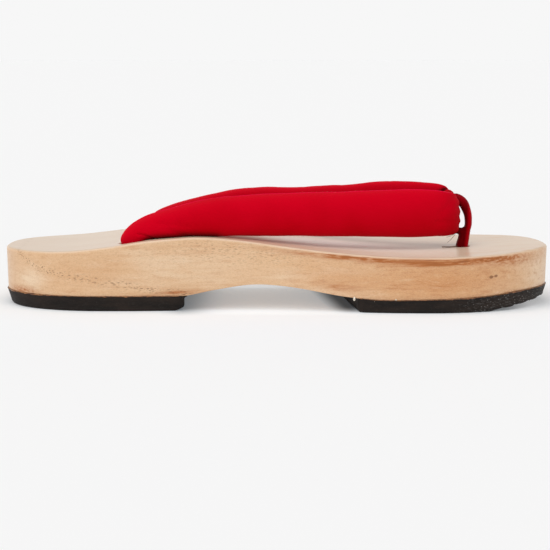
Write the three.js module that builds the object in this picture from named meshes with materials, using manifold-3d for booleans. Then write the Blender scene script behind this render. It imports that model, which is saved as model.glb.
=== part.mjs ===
// Geta sandal for the left foot: a one-piece wooden base on two rubber pads, with a padded
// V-shaped strap that a cloth toe loop holds down at the front.
// Millimetres. +X points to the toe, +Y to the outer (lateral) side and +Z up. The origin is on
// the ground, under the middle of the sole.
import * as THREE from 'three';
import { mergeVertices } from 'three/addons/utils/BufferGeometryUtils.js';
import Module from 'manifold-3d';

const wasm = await Module();
wasm.setup();

// ---- driving sizes ----------------------------------------------------------------------------
const LENGTH = 255;
const HALF_LENGTH = LENGTH / 2;
const FIT_GAP = 0.3; // glue line or clearance between two pieces

// Plan of the base between its round ends: the y of each side at a few places along the sole.
const SIDE_LINES = [
  { x: -82, medial: -40, lateral: 35 },
  { x: -58, medial: -39.6, lateral: 34.6 },
  { x: -26, medial: -37.2, lateral: 33.6 },
  { x: 0, medial: -37.8, lateral: 35.4 },
  { x: 28, medial: -42, lateral: 40.8 },
  { x: 52, medial: -45.2, lateral: 44.8 },
  { x: 74, medial: -46, lateral: 46 },
];
// Round ends: each side closes on the tip as a superellipse of its own power.
const HEEL_END = { start: -80, tip: -HALF_LENGTH, tipY: -4, medial: 2.15, lateral: 2.6 };
const TOE_END = { start: 72, tip: HALF_LENGTH, tipY: -8, medial: 1.95, lateral: 2.4 };

// Side profile of the base: the footbed and the sawn underside, both level across the foot.
const FOOTBED = [
  { x: -HALF_LENGTH, z: 26.8 },
  { x: -98, z: 27.2 },
  { x: -76, z: 29.5 },
  { x: -60, z: 31.9 },
  { x: -46, z: 33.1 },
  { x: -35, z: 33.5 },
  { x: -19, z: 32.4 },
  { x: 6, z: 29.3 },
  { x: 30, z: 26.9 },
  { x: 58, z: 25.4 },
  { x: 80, z: 25.4 },
  { x: 104, z: 26.3 },
  { x: HALF_LENGTH, z: 27.5 },
];
const UNDERSIDE = [
  { x: -44, z: 6.8 },
  { x: -28, z: 9.5 },
  { x: -10, z: 12 },
  { x: 8, z: 10.8 },
  { x: 30, z: 7.3 },
  { x: 46, z: 5.9 },
  { x: 66, z: 6 },
  { x: 95, z: 7.1 },
  { x: 112, z: 8.6 },
  { x: HALF_LENGTH, z: 9.2 },
];
const TOE_SPRING = [
  { x: 94, z: 0 },
  { x: 105, z: 1.2 },
  { x: 116, z: 2.8 },
  { x: HALF_LENGTH, z: 4 },
];
const EDGE_ROUND = { top: 1.2, bottom: 0.6 };
const SIDE_DRAFT = 0.4; // the sides draw in this much towards the underside
const BASE_STATIONS = 56;

// Pads: where their straight ends lie, and how far the sides draw in towards the ground.
const HEEL_PAD = { straightX: -44.3, skew: -0.06, corner: 3, drawIn: { tip: 3.4, side: 1.6 } };
const FOREFOOT_PAD = { straightX: 32.8, skew: -0.095, corner: 4, drawIn: { tip: 2.2, side: 1.4 } };
const PAD_BEVEL = 1.4;
const PAD_STATIONS = 28;

// Holes through the base for the toe loop and for the two ends of the strap.
const TOE_HOLE = { x: 88.2, y: -4.2, long: 7.4, wide: 7.4 };
const STRAP_HOLES = {
  medial: { x: -65.3, y: -30.2, long: 13.4, wide: 9.6 },
  lateral: { x: -58, y: 26.8, long: 13.4, wide: 9.6 },
};
const HOLE_SIDES = 24;
const SLOT_SPREAD = 8; // how fast a slot's points slide to its two round ends
const BELOW_GROUND = -1;
const ABOVE_FOOTBED = 60;

// ---- tables of the strap -----------------------------------------------------------------------
// Each row is one section of the padded tube: the lower and the upper edge seen from the side,
// how far across its middle stands, how far the upper edge leans inwards, the thickness, and the
// heading in plan, which turns from 0 (to the toe) through 90 at the fold to 180 (to the heel).

// The tail that goes down into a hole and bends over its edge: x is counted from the hole.
const TAIL = [
  { lowX: 3.8, low: 20, topX: -3.8, top: 20, thick: 5.6 },
  { lowX: 5.2, low: 28, topX: -5.2, top: 28, thick: 7 },
  { lowX: 6.2, low: 33.4, topX: -6, top: 32.9, thick: 7.8 },
  { lowX: 8.9, low: 33.5, topX: -2, top: 38.4, thick: 8.3 },
];
const MEDIAL_ARM = [
  { lowX: -53, low: 33.6, topX: -60.3, top: 42.6, y: -30.1, lean: 0.6, thick: 8.7, heading: 3 },
  { lowX: -46, low: 33.7, topX: -50, top: 45.9, y: -29.8, lean: 1.2, thick: 9.1, heading: 4 },
  { lowX: -34, low: 33.9, topX: -36, top: 49.6, y: -28.7, lean: 2, thick: 9.4, heading: 6 },
  { lowX: -14, low: 33.3, topX: -14, top: 51.9, y: -26.2, lean: 2.8, thick: 9.6, heading: 8 },
  { lowX: 10, low: 32.9, topX: 10, top: 52.6, y: -22.6, lean: 3, thick: 9.6, heading: 9 },
  { lowX: 34, low: 32.1, topX: 34, top: 52.7, y: -18.4, lean: 2.6, thick: 9.4, heading: 11 },
  { lowX: 58, low: 31.2, topX: 58, top: 53.4, y: -13.6, lean: 1.6, thick: 8.6, heading: 11 },
  { lowX: 73, low: 31.1, topX: 73, top: 52.9, y: -10.8, lean: 0.6, thick: 7.2, heading: 9 },
  { lowX: 80.5, low: 31.3, topX: 80.3, top: 52, y: -9.6, lean: 0, thick: 6, heading: 14 },
  { lowX: 84.6, low: 32.4, topX: 83.9, top: 50.6, y: -7.9, lean: 0, thick: 4.8, heading: 52 },
];
const FOLD = { lowX: 84.6, low: 36.2, topX: 84.4, top: 47.2, y: -4.2, lean: 0, thick: 3.8, heading: 90 };
const LATERAL_ARM = [
  { lowX: -45.6, low: 33.7, topX: -52.9, top: 41.9, y: 26.6, lean: 0.6, thick: 8.7, heading: 177 },
  { lowX: -39, low: 33.9, topX: -42.8, top: 45.1, y: 26.2, lean: 1.2, thick: 9.1, heading: 176 },
  { lowX: -28, low: 33.9, topX: -29.2, top: 48.4, y: 24.9, lean: 2, thick: 9.4, heading: 172 },
  { lowX: -14, low: 33.5, topX: -14, top: 51, y: 22.6, lean: 2.8, thick: 9.6, heading: 169 },
  { lowX: 10, low: 33, topX: 10, top: 52, y: 18, lean: 3, thick: 9.6, heading: 166 },
  { lowX: 34, low: 32.8, topX: 34, top: 53.6, y: 12.2, lean: 2.6, thick: 9.4, heading: 163 },
  { lowX: 58, low: 33, topX: 58, top: 56, y: 5.6, lean: 1.6, thick: 8.6, heading: 164 },
  { lowX: 73, low: 32.6, topX: 73, top: 55.3, y: 2.2, lean: 0.6, thick: 7.2, heading: 170 },
  { lowX: 80.5, low: 32.6, topX: 80.3, top: 54, y: 1.2, lean: 0, thick: 6, heading: 166 },
  { lowX: 84.2, low: 33.2, topX: 83.8, top: 51, y: -0.5, lean: 0, thick: 4.8, heading: 128 },
];
const STRAP_SQUARENESS = 2.4; // 2 is an ellipse, more is a fuller pillow
const STRAP_STEPS = 92;
const STRAP_SIDES = 20;

// ---- tables of the toe loop --------------------------------------------------------------------
// The ring goes up in front of the fold, over it and down between the arms. Its post goes on
// down into the toe hole. wide is across the foot, thick in the plane of the loop.
const LOOP_RING = [
  { x: 90.6, z: 34.4, wide: 5.8, thick: 3.2 },
  { x: 91.1, z: 38.6, wide: 6.2, thick: 3.3 },
  { x: 90.5, z: 43.4, wide: 6.4, thick: 3.2 },
  { x: 88.5, z: 47.3, wide: 5.8, thick: 3.8 },
  { x: 84.8, z: 49.5, wide: 4.4, thick: 2.7 },
  { x: 81.2, z: 48.4, wide: 3.5, thick: 2.8 },
  { x: 79.6, z: 44.8, wide: 3.2, thick: 2.8 },
  { x: 79.6, z: 39.6, wide: 3.2, thick: 2.8 },
  { x: 81.6, z: 35.4, wide: 3.4, thick: 2.8 },
  { x: 85.4, z: 33.4, wide: 4.2, thick: 3 },
  { x: 88.6, z: 32.8, wide: 5.4, thick: 3.4 },
];
const LOOP_POST = [
  { x: 88.2, z: 16, wide: 5.4, long: 5.4 },
  { x: 88.2, z: 25.5, wide: 6, long: 5.8 },
  { x: 88.9, z: 29.5, wide: 5.8, long: 5.3 },
  { x: 89.6, z: 33.5, wide: 5.2, long: 5 },
];
const LOOP_SQUARENESS = 2.6;
const LOOP_STEPS = 44;
const LOOP_SIDES = 14;
const POST_STEPS = 8;

// ---- curves and lofts --------------------------------------------------------------------------

// Smooth line through one column of a table, against another column or, without one, against the
// row's number. It is level at both ends and holds its end values beyond them.
function smoothLine(table, column, against) {
  const at = table.map((row, i) => (against ? row[against] : i));
  const value = table.map((row) => row[column]);
  const last = value.length - 1;
  const slope = value.map((_, i) => {
    if (i === 0 || i === last) return 0;
    return (value[i + 1] - value[i - 1]) / (at[i + 1] - at[i - 1]);
  });
  return (t) => {
    if (t <= at[0]) return value[0];
    if (t >= at[last]) return value[last];
    const i = at.findIndex((a) => a > t) - 1;
    const span = at[i + 1] - at[i];
    const u = (t - at[i]) / span;
    const rise = u * u * (3 - 2 * u);
    const leave = u * (1 - u) * (1 - u) * span * slope[i];
    const arrive = u * u * (1 - u) * span * slope[i + 1];
    return value[i] + (value[i + 1] - value[i]) * rise + leave - arrive;
  };
}

// Smooth closed line through one column of a table, over turns from 0 to 1.
function smoothRound(table, column) {
  const count = table.length;
  const value = (i) => table[((i % count) + count) % count][column];
  return (turn) => {
    const t = turn * count;
    const i = Math.floor(t);
    const u = t - i;
    const leave = (value(i + 1) - value(i - 1)) / 2;
    const arrive = (value(i + 2) - value(i)) / 2;
    const rise = u * u * (3 - 2 * u);
    return value(i) + (value(i + 1) - value(i)) * rise + leave * u * (1 - u) ** 2 - arrive * u * u * (1 - u);
  };
}

// Ring of points around a middle: a superellipse on two half-axes. A power of 2 is an ellipse.
function ovalRing(middle, halfAcross, halfUp, power, sides) {
  const reach = (share) => Math.sign(share) * Math.abs(share) ** (2 / power);
  return Array.from({ length: sides }, (_, i) => {
    const angle = (2 * Math.PI * i) / sides;
    return middle
      .clone()
      .addScaledVector(halfAcross, reach(Math.cos(angle)))
      .addScaledVector(halfUp, reach(Math.sin(angle)));
  });
}

// Faces that close a ring of points. Its first point and the one halfway round are its two ends,
// and the points between them face each other in pairs.
function capFaces(count) {
  const faces = [];
  for (let i = 0; i < count / 2; i++) {
    const facing = (count - i) % count;
    const nextFacing = count - i - 1;
    if (nextFacing !== i + 1) faces.push([i, i + 1, nextFacing]);
    if (facing !== i) faces.push([i, nextFacing, facing]);
  }
  return faces;
}

// Closed mesh through rings with the same even number of points, each ring counter-clockwise as
// seen from the end of the loft. A loft that closes on itself has no caps.
function loft(rings, closed = false) {
  const count = rings[0].length;
  const faces = [];
  const bands = closed ? rings.length : rings.length - 1;
  for (let band = 0; band < bands; band++) {
    const low = band * count;
    const high = ((band + 1) % rings.length) * count;
    for (let i = 0; i < count; i++) {
      const next = (i + 1) % count;
      faces.push([low + i, low + next, high + next], [low + i, high + next, high + i]);
    }
  }
  if (!closed) {
    const last = (rings.length - 1) * count;
    for (const [a, b, c] of capFaces(count)) faces.push([a, c, b], [last + a, last + b, last + c]);
  }
  const corners = rings.flat().flatMap((point) => point.toArray());
  const geometry = new THREE.BufferGeometry();
  geometry.setAttribute('position', new THREE.Float32BufferAttribute(corners, 3));
  geometry.setIndex(faces.flat());
  return geometry;
}

function solid(geometry) {
  const bare = geometry.clone();
  bare.deleteAttribute('normal');
  bare.deleteAttribute('uv');
  const merged = mergeVertices(bare, 1e-4);
  return new wasm.Manifold(
    new wasm.Mesh({
      numProp: 3,
      vertProperties: new Float32Array(merged.attributes.position.array),
      triVerts: new Uint32Array(merged.index.array),
    }),
  );
}

function geometryOf(manifold) {
  const mesh = manifold.getMesh();
  const geometry = new THREE.BufferGeometry();
  geometry.setAttribute('position', new THREE.BufferAttribute(new Float32Array(mesh.vertProperties), 3));
  geometry.setIndex(new THREE.BufferAttribute(new Uint32Array(mesh.triVerts), 1));
  return geometry;
}

// ---- plan and profile of the sole --------------------------------------------------------------
const sideLine = {
  medial: smoothLine(SIDE_LINES, 'medial', 'x'),
  lateral: smoothLine(SIDE_LINES, 'lateral', 'x'),
};
const footbed = smoothLine(FOOTBED, 'z', 'x');
const underside = smoothLine(UNDERSIDE, 'z', 'x');
const toeSpring = smoothLine(TOE_SPRING, 'z', 'x');

function outlineY(x, side) {
  const line = sideLine[side](x);
  const end = x < HEEL_END.start ? HEEL_END : TOE_END;
  const along = Math.min((x - end.start) / (end.tip - end.start), 1);
  if (along <= 0) return line;
  return end.tipY + (line - end.tipY) * (1 - along ** end[side]) ** (1 / end[side]);
}

// Plan of the base as paired points: from the heel tip along the medial side to the toe tip and
// back along the lateral side. The pairs lie closest together at the round ends.
function basePlan() {
  const point = (i, name) => {
    const x = -HALF_LENGTH * Math.cos((Math.PI * i) / BASE_STATIONS);
    return new THREE.Vector2(x, outlineY(x, name));
  };
  const pairs = Array.from({ length: BASE_STATIONS - 1 }, (_, i) => i + 1);
  return [
    new THREE.Vector2(-HALF_LENGTH, HEEL_END.tipY),
    ...pairs.map((i) => point(i, 'medial')),
    new THREE.Vector2(HALF_LENGTH, TOE_END.tipY),
    ...pairs.reverse().map((i) => point(i, 'lateral')),
  ];
}

// A plan drawn in towards its middle, at the height that a function of x gives.
function level(outline, middle, drawIn, height) {
  const halfLong = Math.max(...outline.map((p) => Math.abs(p.x - middle.x)));
  const halfWide = Math.max(...outline.map((p) => Math.abs(p.y - middle.y)));
  return outline.map((p) => {
    const x = middle.x + (p.x - middle.x) * (1 - drawIn.tip / halfLong);
    const y = middle.y + (p.y - middle.y) * (1 - drawIn.side / halfWide);
    return new THREE.Vector3(x, y, height(x));
  });
}

const bothWays = (amount) => ({ tip: amount, side: amount });

// ---- pieces ------------------------------------------------------------------------------------

// Slot with round ends through the whole base.
function holeCutter(hole) {
  const radius = hole.wide / 2;
  const reach = (hole.long - hole.wide) / 2;
  const ring = (z) =>
    Array.from({ length: HOLE_SIDES }, (_, i) => {
      const angle = (2 * Math.PI * i) / HOLE_SIDES;
      const slide = THREE.MathUtils.clamp(SLOT_SPREAD * Math.cos(angle), -1, 1) * reach;
      return new THREE.Vector3(
        hole.x + slide + radius * Math.cos(angle),
        hole.y + radius * Math.sin(angle),
        z,
      );
    });
  return solid(loft([ring(BELOW_GROUND), ring(ABOVE_FOOTBED)]));
}

function woodenBase() {
  const outline = basePlan();
  const middle = new THREE.Vector2(0, 0);
  const { top, bottom } = EDGE_ROUND;
  const corner = 1 - Math.SQRT1_2;
  const rings = [
    level(outline, middle, bothWays(SIDE_DRAFT + bottom), underside),
    level(outline, middle, bothWays(SIDE_DRAFT), (x) => underside(x) + bottom),
    level(outline, middle, bothWays(0), (x) => footbed(x) - top),
    level(outline, middle, bothWays(top * corner), (x) => footbed(x) - top * corner),
    level(outline, middle, bothWays(top), footbed),
  ];
  let base = solid(loft(rings));
  for (const hole of [TOE_HOLE, STRAP_HOLES.medial, STRAP_HOLES.lateral]) {
    base = base.subtract(holeCutter(hole));
  }
  return geometryOf(base);
}

// Plan of a pad from its straight end, cut across with a slight skew and two round corners, to
// the round tip of the sole.
function padPlan(size, end) {
  const side = (name) =>
    Array.from({ length: PAD_STATIONS }, (_, i) => {
      const share = (1 - Math.cos((Math.PI * i) / PAD_STATIONS)) / 2;
      const startX = size.straightX + size.skew * sideLine[name](size.straightX);
      const x = THREE.MathUtils.lerp(startX, end.tip, share);
      const fromCorner = Math.max(size.corner - Math.abs(x - startX), 0);
      const cut = size.corner - Math.sqrt(size.corner ** 2 - fromCorner ** 2);
      const y = outlineY(x, name);
      return new THREE.Vector2(x, y - Math.sign(y) * cut);
    });
  const [near, far] = end.tip > 0 ? ['medial', 'lateral'] : ['lateral', 'medial'];
  return [
    new THREE.Vector2(size.straightX, 0),
    ...side(near),
    new THREE.Vector2(end.tip, end.tipY),
    ...side(far).reverse(),
  ];
}

function pad(size, end, ground) {
  const outline = padPlan(size, end);
  const middle = new THREE.Vector2(size.straightX, 0);
  const { tip, side } = size.drawIn;
  return loft([
    level(outline, middle, { tip, side }, ground),
    level(outline, middle, { tip: tip * 0.5, side: side * 0.4 }, (x) => ground(x) + PAD_BEVEL),
    level(outline, middle, bothWays(0), (x) => underside(x) - FIT_GAP),
  ]);
}

// One section of the strap as a ring of points around the line from its lower to its upper edge.
function strapSection(section) {
  const { lowX, low, topX, top, y, lean, thick, heading } = section;
  const angle = THREE.MathUtils.degToRad(heading);
  const across = new THREE.Vector3(-Math.sin(angle), Math.cos(angle), 0);
  const inward = across.clone().multiplyScalar(lean / 2);
  const lowEdge = new THREE.Vector3(lowX, y, low).sub(inward);
  const topEdge = new THREE.Vector3(topX, y, top).add(inward);
  const middle = lowEdge.clone().add(topEdge).multiplyScalar(0.5);
  const up = topEdge.clone().sub(lowEdge).multiplyScalar(0.5);
  return ovalRing(middle, across.multiplyScalar(thick / 2), up, STRAP_SQUARENESS, STRAP_SIDES);
}

// The rows of a tail, put at its hole.
function tailRows(hole, heading) {
  return TAIL.map((row) => ({
    ...row,
    lowX: hole.x + row.lowX,
    topX: hole.x + row.topX,
    y: hole.y,
    lean: 0,
    heading,
  }));
}

function strap() {
  const rows = [
    ...tailRows(STRAP_HOLES.medial, 2),
    ...MEDIAL_ARM,
    FOLD,
    ...LATERAL_ARM.toReversed(),
    ...tailRows(STRAP_HOLES.lateral, 178).reverse(),
  ];
  const names = ['lowX', 'low', 'topX', 'top', 'y', 'lean', 'thick', 'heading'];
  const lines = names.map((name) => [name, smoothLine(rows, name)]);
  const rings = Array.from({ length: STRAP_STEPS + 1 }, (_, i) => {
    const at = ((rows.length - 1) * i) / STRAP_STEPS;
    return strapSection(Object.fromEntries(lines.map(([name, line]) => [name, line(at)])));
  });
  return loft(rings);
}

// One section of the loop or its post, square to the line along it in the plane y = hole's y.
function loopSection(centre, tangent, wide, thick) {
  const across = new THREE.Vector3(0, 1, 0);
  const outward = across.clone().cross(tangent).normalize();
  const halfThick = outward.multiplyScalar(thick / 2);
  return ovalRing(centre, halfThick, across.multiplyScalar(wide / 2), LOOP_SQUARENESS, LOOP_SIDES);
}

function toeLoop() {
  const round = Object.fromEntries(['x', 'z', 'wide', 'thick'].map((n) => [n, smoothRound(LOOP_RING, n)]));
  const on = (turn) => new THREE.Vector3(round.x(turn), TOE_HOLE.y, round.z(turn));
  const ring = Array.from({ length: LOOP_STEPS }, (_, i) => {
    const turn = i / LOOP_STEPS;
    const tangent = on(turn + 0.005).sub(on(turn - 0.005));
    return loopSection(on(turn), tangent, round.wide(turn), round.thick(turn));
  });
  const line = Object.fromEntries(['x', 'z', 'wide', 'long'].map((n) => [n, smoothLine(LOOP_POST, n)]));
  const post = Array.from({ length: POST_STEPS + 1 }, (_, i) => {
    const at = ((LOOP_POST.length - 1) * i) / POST_STEPS;
    const centre = new THREE.Vector3(line.x(at), TOE_HOLE.y, line.z(at));
    return loopSection(centre, new THREE.Vector3(0, 0, 1), line.wide(at), line.long(at));
  });
  return geometryOf(solid(loft(ring, true)).add(solid(loft(post))));
}

// ---- assembly ----------------------------------------------------------------------------------
const WOOD = { color: 0xdcb184, roughness: 0.5, metalness: 0 };
const RUBBER = { color: 0x2a2522, roughness: 0.85, metalness: 0 };
const CLOTH = { color: 0xb80512, roughness: 0.75, metalness: 0 };

function piece(name, geometry, look) {
  const mesh = new THREE.Mesh(geometry, new THREE.MeshStandardMaterial(look));
  mesh.name = name;
  return mesh;
}

const sandal = new THREE.Group();
sandal.add(
  piece('wooden_base', woodenBase(), WOOD),
  piece('heel_pad', pad(HEEL_PAD, HEEL_END, () => 0), RUBBER),
  piece('forefoot_pad', pad(FOREFOOT_PAD, TOE_END, toeSpring), RUBBER),
  piece('hanao_strap', strap(), CLOTH),
  piece('toe_loop', toeLoop(), CLOTH),
);

export default sandal;
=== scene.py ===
"""Looks of the left geta sandal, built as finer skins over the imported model.

The wooden base, the two rubber pads, the padded strap and the toe loop are worked out again from
the sizes of the part, with soft creases, a seam and worn edges, and dressed as wood, rubber and
cloth. Sizes are in millimetres until a mesh is made. +X points to the toe, +Y to the outer side of
the foot and +Z up.
"""

import logging
import math
from dataclasses import dataclass
from enum import Enum
from typing import Any, Callable, Iterable

import bmesh
import bpy
import numpy as np
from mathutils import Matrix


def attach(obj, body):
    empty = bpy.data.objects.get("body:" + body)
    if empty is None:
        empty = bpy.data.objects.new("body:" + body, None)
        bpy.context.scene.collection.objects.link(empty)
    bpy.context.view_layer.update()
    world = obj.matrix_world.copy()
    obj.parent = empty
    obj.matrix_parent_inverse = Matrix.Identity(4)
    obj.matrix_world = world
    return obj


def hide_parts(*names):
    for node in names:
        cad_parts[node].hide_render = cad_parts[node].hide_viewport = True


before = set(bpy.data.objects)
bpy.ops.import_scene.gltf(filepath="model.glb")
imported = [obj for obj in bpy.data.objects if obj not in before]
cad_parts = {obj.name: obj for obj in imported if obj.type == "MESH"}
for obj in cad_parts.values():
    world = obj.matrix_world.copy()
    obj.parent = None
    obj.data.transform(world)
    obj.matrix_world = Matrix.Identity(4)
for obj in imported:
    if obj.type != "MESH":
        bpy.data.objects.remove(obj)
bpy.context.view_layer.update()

LOG = logging.getLogger("geta")
MM = 0.001
MERGE_DISTANCE = 1e-6
TINY = 1e-9
TAU = 2 * math.pi
ROOT = "root"
Array = np.ndarray
Triple = tuple[float, float, float]
Colour = Triple
Surface = Callable[[Array], Array]


class Side(Enum):
    """The two long sides of the left foot."""

    MEDIAL = "medial"
    LATERAL = "lateral"


class Slot(Enum):
    """The material slots that the part's record names."""

    WOOD = "wood"
    RUBBER = "rubber"
    STRAP = "strap_cloth"
    LOOP = "loop_cloth"


# ---- curves ------------------------------------------------------------------------------------


def smooth_line(at: Array, value: Array, t: Array) -> Array:
    """Smooth line through points, level at both ends and held beyond them.

    Between two points it is the cubic that has their values and slopes. A point's slope is that
    of the straight line between its two neighbours.

    Args:
        at: where the points lie, in rising order.
        value: the value at each point.
        t: where the line is wanted.

    Returns:
        The line's value at each t.
    """
    slope = np.zeros_like(value)
    slope[1:-1] = (value[2:] - value[:-2]) / (at[2:] - at[:-2])
    inside = np.clip(t, at[0], at[-1])
    i = np.clip(np.searchsorted(at, inside, side="right") - 1, 0, len(at) - 2)
    span = at[i + 1] - at[i]
    u = (inside - at[i]) / span
    rise = u * u * (3 - 2 * u)
    leave = u * (1 - u) ** 2 * span * slope[i]
    arrive = u * u * (1 - u) * span * slope[i + 1]
    return value[i] + (value[i + 1] - value[i]) * rise + leave - arrive


@dataclass(frozen=True)
class Table:
    """A short table with named columns and smooth lines through them."""

    columns: dict[str, Array]

    @classmethod
    def of(cls, names: str, rows: Iterable[tuple[float, ...]]) -> "Table":
        """Makes a table from its column names, split by spaces, and its rows."""
        values = np.array(list(rows), float)
        return cls({name: values[:, i] for i, name in enumerate(names.split())})

    def rows(self) -> int:
        """The number of rows."""
        return len(next(iter(self.columns.values())))

    def line(self, name: str, t: Array, against: str | None = None) -> Array:
        """Smooth line through a column, against another column or the row's number."""
        at = self.columns[against] if against else np.arange(self.rows(), dtype=float)
        return smooth_line(at, self.columns[name], np.asarray(t, float))

    def loop(self, name: str, turn: Array) -> Array:
        """Smooth closed line through a column, over turns from 0 to 1.

        Args:
            name: the column.
            turn: where the line is wanted, in turns of the loop.

        Returns:
            The line's value at each turn.
        """
        value = self.columns[name]
        wide = np.concatenate([value] * 3)
        at = np.arange(len(wide), dtype=float)
        return smooth_line(at, wide, (np.asarray(turn, float) % 1 + 1) * len(value))


def bell(distance: Array, width: float) -> Array:
    """Soft bump: 1 at no distance, falling as the square's negative exponential."""
    return np.exp(-((distance / width) ** 2))


def ripple(a: Array, b: Array, seed: int, lengths: tuple[float, ...]) -> Array:
    """Uneven surface made of crossing waves, between about -1 and 1.

    Args:
        a: first coordinate, in mm.
        b: second coordinate, in mm.
        seed: sets the waves' directions and phases.
        lengths: wavelengths in mm; each has three waves in different directions.

    Returns:
        The sum of the waves over the square root of their number.
    """
    draw = np.random.default_rng(seed)
    total = np.zeros(np.broadcast(a, b).shape)
    for length in lengths:
        for _ in range(3):
            turn, phase = draw.uniform(0, TAU, 2)
            total = total + np.sin(TAU * (a * math.cos(turn) + b * math.sin(turn)) / length + phase)
    return total / math.sqrt(3 * len(lengths))


# ---- meshes ------------------------------------------------------------------------------------


def grid_faces(rows: int, cols: int, close_rows: bool = False, close_cols: bool = True) -> Array:
    """Four-cornered faces of a grid of points, as rows of point numbers.

    Args:
        rows: the number of sections.
        cols: the number of points in a section.
        close_rows: whether the last section joins the first.
        close_cols: whether a section's last point joins its first.

    Returns:
        One row of four point numbers for each face.
    """
    r = np.arange(rows if close_rows else rows - 1)[:, None]
    c = np.arange(cols if close_cols else cols - 1)[None, :]
    low, high = r * cols, ((r + 1) % rows) * cols
    nxt = (c + 1) % cols
    return np.stack([low + c, low + nxt, high + nxt, high + c], -1).reshape(-1, 4)


def plain_object(name: str, points: Array, faces: list[list[int]]) -> bpy.types.Object:
    """Object at the origin from points in mm and faces, which it keeps in their order.

    Args:
        name: the object's name.
        points: points in mm, in any grid of x, y and z.
        faces: each face as a list of point numbers.

    Returns:
        The new object, linked to the scene.
    """
    mesh = bpy.data.meshes.new(name)
    mesh.from_pydata((points.reshape(-1, 3) * MM).tolist(), [], faces)
    piece = bpy.data.objects.new(name, mesh)
    bpy.context.scene.collection.objects.link(piece)
    return piece


def mesh_object(name: str, points: Array, faces: list[list[int]]) -> bpy.types.Object:
    """Object at the origin from points in mm and faces, with doubles merged and faces outward.

    Args:
        name: the object's name.
        points: points in mm, in any grid of x, y and z.
        faces: each face as a list of point numbers.

    Returns:
        The new object, linked to the scene.
    """
    piece = plain_object(name, points, faces)
    work = bmesh.new()
    work.from_mesh(piece.data)
    bmesh.ops.remove_doubles(work, verts=work.verts, dist=MERGE_DISTANCE)
    bmesh.ops.recalc_face_normals(work, faces=work.faces)
    work.to_mesh(piece.data)
    work.free()
    return piece


def tube_faces(rows: int, cols: int) -> list[list[int]]:
    """Faces of an open tube of sections with one many-cornered face over each end.

    Args:
        rows: the number of sections.
        cols: the number of points in a section.

    Returns:
        Each face as a list of point numbers.
    """
    faces = grid_faces(rows, cols).tolist()
    faces.append(list(range(cols))[::-1])
    faces.append(list(range((rows - 1) * cols, rows * cols)))
    return faces


def point_array(piece: bpy.types.Object) -> Array:
    """A piece's points in mm, one row each.

    Args:
        piece: the object.

    Returns:
        Its points, in the mesh's own order.
    """
    flat = np.empty(len(piece.data.vertices) * 3, np.float32)
    piece.data.vertices.foreach_get("co", flat)
    return flat.reshape(-1, 3).astype(float) / MM


def add_point_values(piece: bpy.types.Object, name: str, values: Array) -> None:
    """Stores one number for each point of a piece, for its material."""
    attribute = piece.data.attributes.new(name, "FLOAT", "POINT")
    attribute.data.foreach_set("value", values.astype(np.float32).ravel())


def apply_modifiers(piece: bpy.types.Object) -> None:
    """Turns a piece's modifiers into its mesh.

    Args:
        piece: the object, which gets a new mesh.
    """
    graph = bpy.context.evaluated_depsgraph_get()
    done = bpy.data.meshes.new_from_object(piece.evaluated_get(graph))
    piece.modifiers.clear()
    piece.data = done


def boolean(piece: bpy.types.Object, other: bpy.types.Object, operation: str) -> None:
    """Joins or cuts a piece with another object, which is then removed.

    Args:
        piece: the object that is changed.
        other: the object that joins or cuts it.
        operation: UNION or DIFFERENCE.
    """
    modifier = piece.modifiers.new("cut", "BOOLEAN")
    modifier.operation = operation
    modifier.solver = "EXACT"
    modifier.object = other
    apply_modifiers(piece)
    bpy.data.objects.remove(other)


def shade(piece: bpy.types.Object, sharp_over: float | None = None) -> None:
    """Smooth shading, with edges kept sharp where the faces turn by more than an angle.

    Args:
        piece: the object.
        sharp_over: the angle in radians, or none where every edge is smooth.
    """
    mesh = piece.data
    mesh.polygons.foreach_set("use_smooth", np.ones(len(mesh.polygons), bool))
    if sharp_over is None:
        return
    work = bmesh.new()
    work.from_mesh(mesh)
    for edge in work.edges:
        edge.smooth = len(edge.link_faces) < 2 or edge.calc_face_angle(0) < sharp_over
    work.to_mesh(mesh)
    work.free()


def oval(centre: Array, across: Array, up: Array, power: float, sides: int) -> Array:
    """Closed sections around a line of middles, as superellipses on two half-axes.

    A point at an angle lies at the signed power 2/power of its cosine across and of its sine up,
    so a power of 2 is an ellipse and more is a fuller pillow.

    Args:
        centre: middles, one row of x, y, z each.
        across: half-axes at angle 0.
        up: half-axes at a quarter turn.
        power: the superellipse's power.
        sides: points in each section.

    Returns:
        Points by section and angle.
    """
    angle = TAU * np.arange(sides) / sides
    cos, sin = np.cos(angle), np.sin(angle)
    c = np.sign(cos) * np.abs(cos) ** (2 / power)
    s = np.sign(sin) * np.abs(sin) ** (2 / power)
    return centre[:, None] + across[:, None] * c[None, :, None] + up[:, None] * s[None, :, None]


def outward_normals(grid: Array, close_rows: bool = False) -> Array:
    """Unit normals of a tube's grid: the cross product of its two directions at each point.

    Args:
        grid: points by section and angle.
        close_rows: whether the last section joins the first.

    Returns:
        One vector for each point of the grid.
    """
    around = np.roll(grid, -1, 1) - np.roll(grid, 1, 1)
    along = np.roll(grid, -1, 0) - np.roll(grid, 1, 0) if close_rows else np.gradient(grid, axis=0)
    normal = np.cross(around, along)
    return normal / np.maximum(np.linalg.norm(normal, axis=-1, keepdims=True), TINY)


# ---- shader expressions ------------------------------------------------------------------------


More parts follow.
